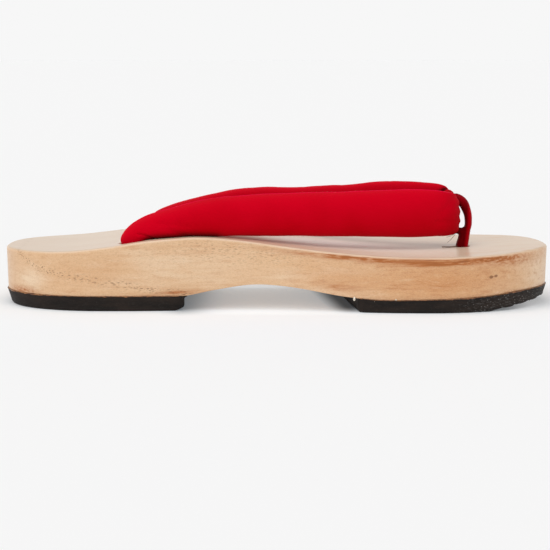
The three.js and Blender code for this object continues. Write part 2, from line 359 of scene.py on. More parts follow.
class Signal:
    """A socket in an expression: its operators add Math nodes to the material."""

    def __init__(self, shader: "Shader", socket: bpy.types.NodeSocket) -> None:
        """Wraps a node's output socket of a shader."""
        self.shader = shader
        self.socket = socket

    def math(self, operation: str, *values: "Signal | float") -> "Signal":
        """Adds a Math node on these values."""
        return self.shader.node("ShaderNodeMath", {"operation": operation}, dict(enumerate(values)))

    def __add__(self, other: "Signal | float") -> "Signal":
        """Sum."""
        return self.math("ADD", self, other)

    __radd__ = __add__

    def __sub__(self, other: "Signal | float") -> "Signal":
        """Difference."""
        return self.math("SUBTRACT", self, other)

    def __rsub__(self, other: float) -> "Signal":
        """Difference from a number."""
        return self.math("SUBTRACT", other, self)

    def __mul__(self, other: "Signal | float") -> "Signal":
        """Product."""
        return self.math("MULTIPLY", self, other)

    __rmul__ = __mul__

    def __truediv__(self, other: "Signal | float") -> "Signal":
        """Quotient."""
        return self.math("DIVIDE", self, other)

    def __pow__(self, power: float) -> "Signal":
        """Power of a value."""
        return self.math("POWER", self, power)

    def sine(self) -> "Signal":
        """Sine of an angle in radians."""
        return self.math("SINE", self)

    def exp(self) -> "Signal":
        """Exponential."""
        return self.math("EXPONENT", self)

    def clamp(self) -> "Signal":
        """The value kept between 0 and 1."""
        return self.shader.node("ShaderNodeClamp", {}, {"Value": self})

    def rise(self, low: float, high: float) -> "Signal":
        """Soft step from 0 at low to 1 at high, or down where low is above high.

        Args:
            low: the value at which the step is 0.
            high: the value at which the step is 1.

        Returns:
            The step.
        """
        step = {"interpolation_type": "SMOOTHSTEP"}
        if low <= high:
            return self.shader.node("ShaderNodeMapRange", step, {"Value": self, 1: low, 2: high})
        up = self.shader.node("ShaderNodeMapRange", step, {"Value": self, 1: high, 2: low})
        return 1 - up

    def inside(self, edges: tuple[float, float, float, float]) -> "Signal":
        """Soft band: 0 outside the two outer edges and 1 between the two inner ones."""
        return self.rise(edges[0], edges[1]) * self.rise(edges[3], edges[2])

    def bell(self, middle: float, width: float) -> "Signal":
        """Soft bump around a middle, 1 at its top."""
        return (((self - middle) / width) ** 2 * -1).exp()


class Shader:
    """One material and the few kinds of node that its finish is written with."""

    def __init__(self, name: str, **surface: float | Colour) -> None:
        """Makes the material. The keyword arguments set uniform values of the shader's sockets.

        Args:
            name: the material's name.
            **surface: uniform values of the surface's sockets, by their names in small letters
                with underscores.
        """
        self.material = bpy.data.materials.new(name)
        self.material.use_nodes = True
        self.tree = self.material.node_tree
        self.surface = self.tree.nodes["Principled BSDF"]
        for key, value in surface.items():
            socket = self.surface.inputs[key.replace("_", " ").title().replace("Ior", "IOR")]
            socket.default_value = (*value, 1.0) if isinstance(value, tuple) else value

    def node(
        self, kind: str, settings: dict[str, Any], inputs: dict[str | int, Any], output: int = 0
    ) -> Signal:
        """Adds a node.

        Args:
            kind: the node's type name.
            settings: its properties, such as a Math node's operation, set first.
            inputs: a value or a Signal for each socket, by name or number.
            output: the number of the socket that is returned.

        Returns:
            The node's output as a Signal.
        """
        made = self.tree.nodes.new(kind)
        for key, value in settings.items():
            setattr(made, key, value)
        for key, value in inputs.items():
            if isinstance(value, Signal):
                self.tree.links.new(value.socket, made.inputs[key])
            else:
                made.inputs[key].default_value = value
        return Signal(self, made.outputs[output])

    def place(self) -> Signal:
        """The point on the piece, in mm."""
        coordinates = self.node("ShaderNodeTexCoord", {}, {}, output=3)
        return self.stretch(coordinates, (1 / MM,) * 3)

    def stretch(self, vector: Signal, scale: Triple) -> Signal:
        """A vector times a scale for each axis."""
        return self.node("ShaderNodeVectorMath", {"operation": "MULTIPLY"}, {0: vector, 1: scale})

    def part(self, vector: Signal, axis: int) -> Signal:
        """One of a vector's three numbers."""
        return self.node("ShaderNodeSeparateXYZ", {}, {0: vector}, output=axis)

    def vector(self, x: Signal | float, y: Signal | float, z: Signal | float) -> Signal:
        """A vector from three numbers."""
        return self.node("ShaderNodeCombineXYZ", {}, {0: x, 1: y, 2: z})

    def value(self, name: str) -> Signal:
        """A number stored on the piece's points."""
        return self.node("ShaderNodeAttribute", {"attribute_name": name}, {}, output=2)

    def noise(self, vector: Signal, detail: float = 2, rough: float = 0.5) -> Signal:
        """Smooth noise between 0 and 1 with features about one unit across."""
        inputs = {"Vector": vector, "Scale": 1.0, "Detail": detail, "Roughness": rough}
        return self.node("ShaderNodeTexNoise", {}, inputs)

    def cells(self, vector: Signal, output: int) -> Signal:
        """Scattered points one unit apart: 0 is the distance to the nearest, 1 its own colour."""
        inputs = {"Vector": vector, "Scale": 1.0, "Randomness": 1.0}
        return self.node("ShaderNodeTexVoronoi", {"feature": "F1"}, inputs, output=output)

    def specks(self, vector: Signal, size: float, share: float) -> Signal:
        """Spots scattered one unit apart, 1 inside them, on a share of the places."""
        chosen = self.part(self.cells(vector, 1), 0).rise(share, share * 0.85)
        return self.cells(vector, 0).rise(size, size * 0.5) * chosen

    def mix(self, low: Signal | Colour, high: Signal | Colour, share: Signal | float) -> Signal:
        """A colour between two colours.

        Args:
            low: the colour at a share of 0.
            high: the colour at a share of 1.
            share: how much there is of the second colour.

        Returns:
            The mixed colour.
        """
        ends = {6: low, 7: high}
        four = {k: (*v, 1.0) if isinstance(v, tuple) else v for k, v in ends.items()}
        return self.node("ShaderNodeMix", {"data_type": "RGBA"}, {0: share, **four}, output=2)

    def bump(self, height: Signal, distance: float, strength: float = 1.0) -> Signal:
        """Normals of a relief whose height of 1 is a distance in mm."""
        inputs = {"Height": height, "Distance": distance * MM, "Strength": strength}
        return self.node("ShaderNodeBump", {}, inputs)

    def feed(self, name: str, signal: Signal) -> None:
        """Links a varying value to one of the surface's sockets."""
        self.tree.links.new(signal.socket, self.surface.inputs[name])


# ---- finishes ----------------------------------------------------------------------------------


@dataclass(frozen=True)
class WoodMark:
    """A patch on the sides of the base, round an x and a depth below the footbed, in mm."""

    x: float
    below: float
    long: float
    high: float
    strength: float


@dataclass(frozen=True)
class WoodFinish:
    """Light open-grained wood under a thin satin coat."""

    tan: Colour = (0.72, 0.46, 0.255)
    cream: Colour = (0.82, 0.62, 0.42)
    # warm orange-brown of the sides; also the colour of the painted strap shadow on the footbed
    warm: Colour = (0.63, 0.31, 0.125)
    rubbed: Colour = (0.70, 0.555, 0.42)
    # painted light: a pale colour laid under the strap, where the strap keeps the light off
    painted_light_under_strap: Colour = (0.92, 0.89, 0.82)
    honey: Colour = (0.41, 0.112, 0.008)
    pore: Colour = (0.20, 0.075, 0.024)
    ring_spacing: float = 3.6
    honey_marks: tuple[WoodMark, ...] = (
        WoodMark(34, 1.3, 17, 1.3, 1.25),
        WoodMark(66, 1.8, 20, 1.8, 1.75),
        WoodMark(97, 1.7, 18, 1.7, 1.35),
        WoodMark(110, 4.5, 12, 1.6, 0.6),
        WoodMark(8, 2.2, 18, 1.4, 0.5),
        WoodMark(-46, 24.6, 15, 1.3, 0.7),
        WoodMark(-117, 18.6, 8, 1.8, 0.9),
        WoodMark(27, 15.4, 9, 1.6, 0.65),
        WoodMark(74, 12.8, 7, 0.8, 0.4),
    )
    warm_marks: tuple[WoodMark, ...] = (
        WoodMark(76, 11, 24, 7, 0.6),
        WoodMark(30, 12, 18, 5, 0.35),
        WoodMark(-84, 10, 20, 5, 0.25),
    )
    # pale patches: at the heel and toe ends they are painted rim highlights, the middle one is paler
    # wood
    pale_marks_and_rim_highlights: tuple[WoodMark, ...] = (
        WoodMark(-113, 13.5, 7, 6, 0.7),
        WoodMark(-30, 12, 24, 7, 0.4),
        WoodMark(118, 8.5, 8, 7, 0.5),
    )
    nicks: tuple[WoodMark, ...] = (
        WoodMark(97.3, 9.9, 1.0, 0.75, 1.2),
        WoodMark(99.6, 9.6, 0.9, 0.7, 1.1),
    )

    def mark(self, x: Signal, below: Signal, marks: tuple[WoodMark, ...]) -> Signal:
        """Sum of soft patches, each a bell along the sole times a bell in depth.

        Args:
            x: the place along the sole, in mm.
            below: the depth below the footbed, in mm.
            marks: the patches.

        Returns:
            The sum, which may pass 1.
        """
        total: Signal | float = 0.0
        for m in marks:
            total = x.bell(m.x, m.long) * below.bell(m.below, m.high) * m.strength + total
        return total

    def pores(self, s: Shader, p: Signal, x: Signal, z: Signal, below: Signal) -> Signal:
        """Short dark dashes and dots, close together along a few lines.

        The closest line falls from the heel's top edge to the arch: a straight slope plus an
        exponential that steepens it at the heel.

        Args:
            s: the wood's shader.
            p: the point, in mm.
            x: its place along the sole.
            z: its height.
            below: its depth below the footbed.

        Returns:
            A mask that is 1 in a pore.
        """
        heel_line = 13 - (x + 75) * 0.155 + ((x + 119) / -6.6).exp() * 6.2
        dense = (z - heel_line).bell(0, 1.5) * x.rise(-28, -46)
        dense = dense + below.bell(5, 4.5) * x.bell(-20, 32) * 0.42
        dashes = s.specks(s.stretch(p, (0.40, 1.7, 1.9)), 0.40, 0.85) * (dense + 0.10)
        dots = s.specks(s.stretch(p, (0.85, 2.9, 3.1)), 0.36, 0.5) * (dense * 0.6 + 0.28)
        return (dashes * 1.1 + dots * 0.8).clamp()

    def late_wood(self, s: Shader, p: Signal, x: Signal, y: Signal, z: Signal) -> Signal:
        """Faint growth lines, the sine of a depth under the bark, strong in some years only.

        The depth is the height, less an exponential that turns the lines down at the heel, plus the
        square of the distance from the medial side, plus a slow drift.

        Args:
            s: the wood's shader.
            p: the point, in mm.
            x: its place along the sole.
            y: its place across the sole.
            z: its height.

        Returns:
            A faint mask.
        """
        drift = s.noise(s.stretch(p, (0.011, 0.03, 0.05)), 2) - 0.5
        sweep = ((x + 127.5) * (-1 / 15)).exp() * -13
        crown = (y + 46) ** 2 / 150
        depth = z + sweep + crown + drift * 9
        ring = (depth * (TAU / self.ring_spacing)).sine() * 0.5 + 0.5
        year = s.noise(s.vector(0.0, 0.0, depth * 0.28), 1)
        return ring ** 3 * year.rise(0.35, 0.65) * 0.10

    def material(self) -> bpy.types.Material:
        """Grain, streaks, pores, listed patches and a paler rubbed footbed.

        The finest noises are the fibre and the grit, the others are blotches of several sizes, all
        drawn out along the sole. The sides are coloured first, with painted rim highlights at the heel
        and toe ends, then the streaks below the footbed's edge, then the footbed, with a painted strap
        shadow by its medial edge and painted light in a strip under the strap, and last the pores and
        nicks.

        Returns:
            The finished material.
        """
        s = Shader("wood", specular_ior_level=0.5, coat_roughness=0.2, coat_ior=1.45)
        p = s.place()
        x, y, z = (s.part(p, axis) for axis in range(3))
        below, above, bed = s.value("below"), s.value("above"), s.value("bed")
        late = self.late_wood(s, p, x, y, z)
        cloud = s.noise(s.stretch(p, (0.022, 0.07, 0.10)), 3, 0.55)
        mottle = s.noise(s.stretch(p, (0.08, 0.46, 0.55)), 4, 0.68)
        streak = s.noise(s.stretch(p, (0.05, 0.9, 1.1)), 4, 0.6)
        fibre = s.noise(s.stretch(p, (0.6, 3.8, 4.4)), 3, 0.75)
        grit = s.noise(s.stretch(p, (1.3, 4.6, 5.2)), 2, 0.6)

        flank = y.rise(-12, -24) * (1 - bed * 0.8)
        # paler wood, with the painted rim highlights at the heel and toe ends
        pale = cloud.rise(0.42, 0.68) * 0.6 + self.mark(x, below, self.pale_marks_and_rim_highlights) * flank
        warmth = x.inside((-10, 60, 100, 124)) * 0.45 + self.mark(x, below, self.warm_marks)
        blotch = mottle.rise(0.50, 0.72) * 0.22 + fibre.rise(0.5, 0.74) * 0.24
        blotch = blotch * (x.rise(-10, 50) * 0.7 + 1) + grit.rise(0.5, 0.68) * 0.16
        colour = s.mix(self.tan, self.cream, pale.clamp())
        colour = s.mix(colour, self.warm, (warmth * flank).clamp())
        light = mottle.rise(0.46, 0.26) * 0.32 + grit.rise(0.47, 0.32) * 0.25
        colour = s.mix(colour, self.cream, light * (1 - bed))
        colour = s.mix(colour, self.honey, (blotch * (1 - bed * 0.7) + late).clamp())

        edge_streak = streak.rise(0.32, 0.66) * 0.85 + 0.30
        dark = self.mark(x, below, self.honey_marks) * flank * edge_streak
        dirt = above.bell(0, 0.9) * x.rise(40, 80) * fibre.rise(0.42, 0.6)
        colour = s.mix(colour, self.honey, dark.clamp())
        colour = s.mix(colour, self.pore, ((dark - 0.8).clamp() * 0.5 + dirt * 0.7).clamp())

        colour = s.mix(colour, self.rubbed, bed * (0.80 - streak.rise(0.5, 0.75) * 0.4))
        front_grain = streak.rise(0.48, 0.72) * x.rise(66, 96) * bed
        # painted light under the strap, where the strap keeps light off the footbed; the strip is also
        # matter and less coated
        painted_light_strip = bed * y.bell(-6, 18) * x.bell(26, 44)
        # painted shadow of the strap: a warmer, darker band by the footbed's medial edge
        painted_strap_shadow = bed * y.bell(-31, 7) * x.bell(22, 34) * (streak.rise(0.3, 0.7) * 0.5 + 0.5)
        colour = s.mix(colour, self.warm, front_grain * 0.34 + painted_strap_shadow * 0.42)
        colour = s.mix(colour, self.painted_light_under_strap, painted_light_strip * 0.95)

        nick = self.mark(x, below, self.nicks) * flank
        pores = (self.pores(s, p, x, z, below) * (1 - bed * 0.6) + nick.rise(0.35, 0.7)).clamp()
        colour = s.mix(colour, self.pore, pores * 0.78)
        s.feed("Base Color", colour)
        s.feed("Roughness", streak * 0.12 + 0.36 + pores * 0.2 + painted_light_strip * 0.4)
        s.feed("Coat Weight", (0.34 - pores * 0.25 - painted_light_strip * 0.34 - dark * 0.22).clamp())
        s.feed("Normal", s.bump(fibre * 0.35 + streak * 0.3 - pores * 1.6, 0.05, 0.5))
        return s.material


@dataclass(frozen=True)
class RubberFinish:
    """Black-brown sole rubber with pale scuffs and specks."""

    black: Colour = (0.0088, 0.0060, 0.0047)
    brown: Colour = (0.0190, 0.0118, 0.0085)
    dust: Colour = (0.26, 0.25, 0.24)
    scuffed_from: float = 76.0

    def material(self, name: str) -> bpy.types.Material:
        """Granular rubber, paler at its worn lower edge and speckled at the toe.

        Args:
            name: the material's name.

        Returns:
            The finished material.
        """
        s = Shader(name, specular_ior_level=0.20)
        p = s.place()
        x, z = s.part(p, 0), s.part(p, 2)
        cloud = s.noise(s.stretch(p, (0.06, 0.06, 0.25)), 3)
        grain = s.noise(s.stretch(p, (1.6, 1.6, 1.6)), 3, 0.65)
        scratch = s.noise(s.stretch(p, (0.5, 0.5, 3.5)), 3, 0.6)
        rim = z.rise(2.2, 0.2) * 0.5
        toe = x.rise(self.scuffed_from, self.scuffed_from + 26)
        scuff = scratch.rise(0.52, 0.74) * (toe + 0.08) + rim * grain.rise(0.5, 0.8) * 0.35
        specks = s.specks(s.stretch(p, (1.1, 1.1, 1.4)), 0.34, 0.34) * (toe * 0.95 + 0.05)
        colour = s.mix(self.black, self.brown, cloud.rise(0.35, 0.7))
        colour = s.mix(colour, self.dust, (scuff * 0.42 + specks * 0.75).clamp())
        s.feed("Base Color", colour)
        s.feed("Roughness", grain * 0.2 + 0.55)
        s.feed("Normal", s.bump(grain * 0.7 + scratch * 0.5, 0.10, 0.7))
        return s.material


@dataclass(frozen=True)
class ClothFinish:
    """Fine smooth red cloth: a plain weave with a soft sheen, painted shade and a painted highlight.
    """

    red: Colour = (0.585, 0.0002, 0.0115)
    # darker red, for uneven tone and for painted shade towards the lower edge
    deep: Colour = (0.41, 0.0001, 0.0030)
    painted_shade_red: Colour = (0.050, 0.0004, 0.0006)
    # painted highlight along the seam's welt
    welt_and_highlight: Colour = (0.82, 0.004, 0.06)
    gloss_tint: Colour = (1.0, 0.003, 0.03)
    sheen_tint: Colour = (1.0, 0.003, 0.06)
    thread_pitch: float = 0.42

    def material(self, name: str, on_surface: bool) -> bpy.types.Material:
        """Weave in the cloth's own directions, or in the piece's where it has none stored.

        Args:
            name: the material's name.
            on_surface: whether the piece stores how far each point lies along and around.

        Returns:
            The material, which is darker by the painted shade that the piece stores.
        """
        s = Shader(
            name, specular_ior_level=0.3, specular_tint=self.gloss_tint, sheen_weight=0.10,
            sheen_roughness=0.5, sheen_tint=self.sheen_tint,
        )
        p = s.place()
        along = s.value("along") if on_surface else s.part(p, 2)
        around = s.value("around") if on_surface else s.part(p, 1)
        turn = TAU / self.thread_pitch
        weave = (along * turn).sine() * (around * turn).sine()
        slub = s.noise(s.vector(along * 0.4, around * 3.0, 0.0), 2)
        cloud = s.noise(s.stretch(p, (0.05, 0.05, 0.05)), 2)
        # painted shade, darker towards the lower edge, fading out towards the rear tails
        lower = s.part(p, 2).rise(50, 33) * s.part(p, 0).rise(-62, -30) * 0.62
        uneven = cloud.rise(0.35, 0.7) * 0.22 + weave * 0.10
        colour = s.mix(self.red, self.deep, (lower + uneven).clamp())
        if on_surface:
            # painted highlight along the seam's welt
            colour = s.mix(colour, self.welt_and_highlight, s.value("seam") * 0.75)
        # painted shade that the piece stores
        colour = s.mix(colour, self.painted_shade_red, s.value("shade"))
        s.feed("Base Color", colour)
        s.feed("Roughness", slub * 0.15 + 0.6)
        s.feed("Normal", s.bump(weave * 0.5 + slub * 0.5, 0.035, 0.6))
        return s.material


@dataclass(frozen=True)
class PlainFinish:
    """Small odds and ends: glue and loose fibres, with a mottled colour."""

    light: Colour
    dark: Colour
    roughness: float
    mottle: float

    def material(self, name: str) -> bpy.types.Material:
        """Two colours in soft blotches whose number for each mm is the mottle.

        Args:
            name: the material's name.

        Returns:
            The finished material.
        """
        s = Shader(name)
        blotch = s.noise(s.stretch(s.place(), (self.mottle,) * 3), 3)
        s.feed("Base Color", s.mix(self.light, self.dark, blotch.rise(0.35, 0.65)))
        s.feed("Roughness", blotch * 0.15 + self.roughness)
        s.feed("Normal", s.bump(blotch, 0.05, 0.5))
        return s.material


AMBER_GLUE = PlainFinish((0.30, 0.125, 0.04), (0.10, 0.035, 0.012), 0.35, 0.5)
WHITE_GLUE = PlainFinish((0.80, 0.74, 0.64), (0.60, 0.50, 0.38), 0.4, 1.0)
FIBRE = PlainFinish((0.20, 0.10, 0.05), (0.10, 0.04, 0.02), 0.7, 0.6)


# ---- the sole's plan and profile ---------------------------------------------------------------


@dataclass(frozen=True)
class RoundEnd:
    """Round end of the sole: each side closes on the tip as a superellipse of its own power."""

    start: float
    tip: float
    tip_y: float
    power: dict[Side, float]


@dataclass(frozen=True)
class Sole:
    """Plan and side profile that the base and both pads share."""

    half_length: float = 127.5
    sides: Table = Table.of(
        "x medial lateral",
        [
            (-82, -40, 35), (-58, -39.6, 34.6), (-26, -37.2, 33.6), (0, -37.8, 35.4),
            (28, -42, 40.8), (52, -45.2, 44.8), (74, -46, 46),
        ],
    )
    heel: RoundEnd = RoundEnd(-80, -127.5, -4, {Side.MEDIAL: 2.15, Side.LATERAL: 2.6})
    toe: RoundEnd = RoundEnd(72, 127.5, -8, {Side.MEDIAL: 1.95, Side.LATERAL: 2.4})
    footbed_rows: Table = Table.of(
        "x z",
        [
            (-127.5, 26.8), (-98, 27.2), (-76, 29.5), (-60, 31.9), (-46, 33.1), (-35, 33.5),
            (-19, 32.4), (6, 29.3), (30, 26.9), (58, 25.4), (80, 25.4), (104, 26.3), (127.5, 27.5),
        ],
    )
    underside_rows: Table = Table.of(
        "x z",
        [
            (-44, 6.8), (-28, 9.5), (-10, 12), (8, 10.8), (30, 7.3), (46, 5.9), (66, 6),
            (95, 7.1), (112, 8.6), (127.5, 9.2),
        ],
    )
    spring_rows: Table = Table.of("x z", [(94, 0), (105, 1.2), (116, 2.8), (127.5, 4)])

    def edge_y(self, x: Array, side: Side) -> Array:
        """The y of one side: its line, closed on the tip where a round end has begun.

        Args:
            x: places along the sole.
            side: the side that is wanted.

        Returns:
            The y at each place.
        """
        line = self.sides.line(side.value, x, "x")
        y = line
        for end in (self.heel, self.toe):
            along = np.clip((x - end.start) / (end.tip - end.start), 0, 1)
            power = end.power[side]
            closed = end.tip_y + (line - end.tip_y) * (1 - along**power) ** (1 / power)
            y = np.where(along > 0, closed, y)
        return y

    def footbed(self, x: Array) -> Array:
        """Height of the footbed."""
        return self.footbed_rows.line("z", x, "x")

    def underside(self, x: Array) -> Array:
        """Height of the sawn underside of the wood."""
        return self.underside_rows.line("z", x, "x")

    def toe_spring(self, x: Array) -> Array:
        """Height of the forefoot pad's underside, which lifts towards the toe."""
        return self.spring_rows.line("z", x, "x")

    def plan(self, stations: int) -> Array:
        """Closed outline as paired points, from the heel tip along the medial side and back.

        Args:
            stations: the number of steps along each side, closest at the ends.

        Returns:
            One row of x and y for each point.
        """
        x = -self.half_length * np.cos(np.pi * np.arange(1, stations) / stations)
        near = np.stack([x, self.edge_y(x, Side.MEDIAL)], -1)
        far = np.stack([x, self.edge_y(x, Side.LATERAL)], -1)[::-1]
        heel = [[-self.half_length, self.heel.tip_y]]
        toe = [[self.half_length, self.toe.tip_y]]
        return np.concatenate([heel, near, toe, far])


@dataclass(frozen=True)
class Level:
    """One ring of a clam-shaped skin: the plan drawn in, filled towards its middle line."""

    draw_tip: float
    draw_side: float
    height: Surface
    fill: float = 1.0


def clam_skin(plan: Array, middle: tuple[float, float], levels: list[Level]) -> Array:
    """Closed skin from a middle line on top, out over an edge, down and in to one below.

    A level scales the plan about a middle so that it draws in by its two amounts, and brings each
    point to a share of the way from the middle of its pair. Paired points face each other.

    Args:
        plan: outline points, whose first and halfway points are the two ends.
        middle: the point that the plan is drawn in towards.
        levels: the rings from the top to the bottom.

    Returns:
        Points by level and place on the outline.
    """
    centre = np.array(middle)
    half = np.abs(plan - centre).max(0)
    facing = (-np.arange(len(plan))) % len(plan)
    rings = []
    for level in levels:
        share = 1 - np.array([level.draw_tip, level.draw_side]) / half
        ring = centre + (plan - centre) * share
        halfway = (ring + ring[facing]) / 2
        ring = halfway + (ring - halfway) * level.fill
        rings.append(np.column_stack([ring, level.height(ring[:, 0])]))
    return np.array(rings)


def raised(surface: Surface, by: float) -> Surface:
    """A height function lifted by an amount."""
    return lambda x: surface(x) + by


def between(low: Surface, high: Surface, share: float) -> Surface:
    """A height function a share of the way from one to another."""
    return lambda x: low(x) + (high(x) - low(x)) * share


# ---- wooden base -------------------------------------------------------------------------------

# The rounding of a hole's rim: lift from the footbed in mm, and flare in parts of the rim's size.
RIM_STEPS = [(-1.2, 0.0), (-0.55, 0.12), (-0.2, 0.4), (0.02, 0.8), (0.6, 1.6), (9, 1.6)]
BELOW_GROUND = -1.0
SLOT_SPREAD = 8  # how fast a slot's points slide to its two round ends


@dataclass(frozen=True)
class Hole:
    """Slot with round ends through the base, with a soft rim on the footbed."""

    x: float
    y: float
    long: float
    wide: float
    rim: float = 0.7
    sides: int = 48

    def cutter(self, sole: Sole) -> bpy.types.Object:
        """Closed slot that goes through the base and flares where it leaves the footbed.

        A section is a circle whose two halves stand apart by the slot's straight length. It grows
        by the rim's flare in steps that follow the footbed.

        Args:
            sole: the sole, for the height of its footbed.

        Returns:
            The slot as an object.
        """
        angle = TAU * np.arange(self.sides) / self.sides
        slide = np.clip(SLOT_SPREAD * np.cos(angle), -1, 1) * (self.long - self.wide) / 2
        rings = []
        for lift, flare in [(None, 0.0), *RIM_STEPS]:
            radius = self.wide / 2 + flare * self.rim
            x = self.x + slide + radius * np.cos(angle)
            y = self.y + radius * np.sin(angle)
            z = np.full_like(x, BELOW_GROUND) if lift is None else sole.footbed(x) + lift
            rings.append(np.column_stack([x, y, z]))
        return mesh_object("hole", np.array(rings), tube_faces(len(rings), self.sides))


@dataclass
class WoodenBase:
    """One-piece base: level footbed, sawn arch below, rounded edges and three holes."""

    sole: Sole
    finish: WoodFinish = WoodFinish()
    top_round: float = 1.2
    bottom_round: float = 0.6
    draft: float = 0.4
    sharp_over: float = 32.0
    stations: int = 210
    bed_rings: int = 19
    top_rings: int = 7
    side_rings: int = 11
    low_rings: int = 5
    under_rings: int = 13
    holes: tuple[Hole, ...] = (
        Hole(88.2, -4.2, 7.4, 7.4, 0.5), Hole(-65.3, -30.2, 13.4, 9.6), Hole(-58, 26.8, 13.4, 9.6),
    )

    def levels(self) -> list[Level]:
        """Rings over the footbed, round its edge, down the side and under the base.

        Returns:
            The rings in their order.
        """
        bed, under = self.sole.footbed, self.sole.underside
        top, low, draft = self.top_round, self.bottom_round, self.draft
        rings = [Level(top, top, bed, f) for f in np.linspace(0, 1, self.bed_rings)]
        for a in np.linspace(0, np.pi / 2, self.top_rings)[1:]:
            draw = top * (1 - math.sin(a))
            rings.append(Level(draw, draw, raised(bed, -top * (1 - math.cos(a)))))
        edge, foot = raised(bed, -top), raised(under, low)
        for share in np.linspace(0, 1, self.side_rings)[1:]:
            rings.append(Level(draft * share, draft * share, between(edge, foot, share)))
        for a in np.linspace(0, np.pi / 2, self.low_rings)[1:]:
            draw = draft + low * (1 - math.cos(a))
            rings.append(Level(draw, draw, raised(under, low * (1 - math.sin(a)))))
        last, fills = draft + low, np.linspace(1, 0, self.under_rings)[1:]
        return rings + [Level(last, last, under, f) for f in fills]

    def add_depths(self, base: bpy.types.Object) -> None:
        """Stores each point's depth below the footbed, its height above the underside, and a share
        that is 1 on the footbed and 0 a millimetre below it.

        Args:
            base: the wooden base, with its holes cut.
        """
        points = point_array(base)
        x, z = points[:, 0], points[:, 2]
        below = self.sole.footbed(x) - z
        add_point_values(base, "below", below)
        add_point_values(base, "above", z - self.sole.underside(x))
        add_point_values(base, "bed", np.clip(1 - below, 0, 1))

    def build(self) -> list[bpy.types.Object]:
        """Makes the base, cuts its holes and dresses it.

        Returns:
            The base.
        """
        skin = clam_skin(self.sole.plan(self.stations), (0.0, 0.0), self.levels())
        base = mesh_object("geta_base", skin, grid_faces(*skin.shape[:2]).tolist())
        for hole in self.holes:
            boolean(base, hole.cutter(self.sole), "DIFFERENCE")
        self.add_depths(base)
        shade(base, math.radians(self.sharp_over))
        base.data.materials.append(self.finish.material())
        return [settle(base, Slot.WOOD, "wooden_base")]


def settle(piece: bpy.types.Object, slot: Slot, *nodes: str) -> bpy.types.Object:
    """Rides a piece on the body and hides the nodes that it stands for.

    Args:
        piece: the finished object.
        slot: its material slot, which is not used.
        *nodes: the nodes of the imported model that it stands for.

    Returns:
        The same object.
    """
    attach(piece, ROOT)
    if nodes:
        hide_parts(*nodes)
    return piece


# ---- rubber pads -------------------------------------------------------------------------------


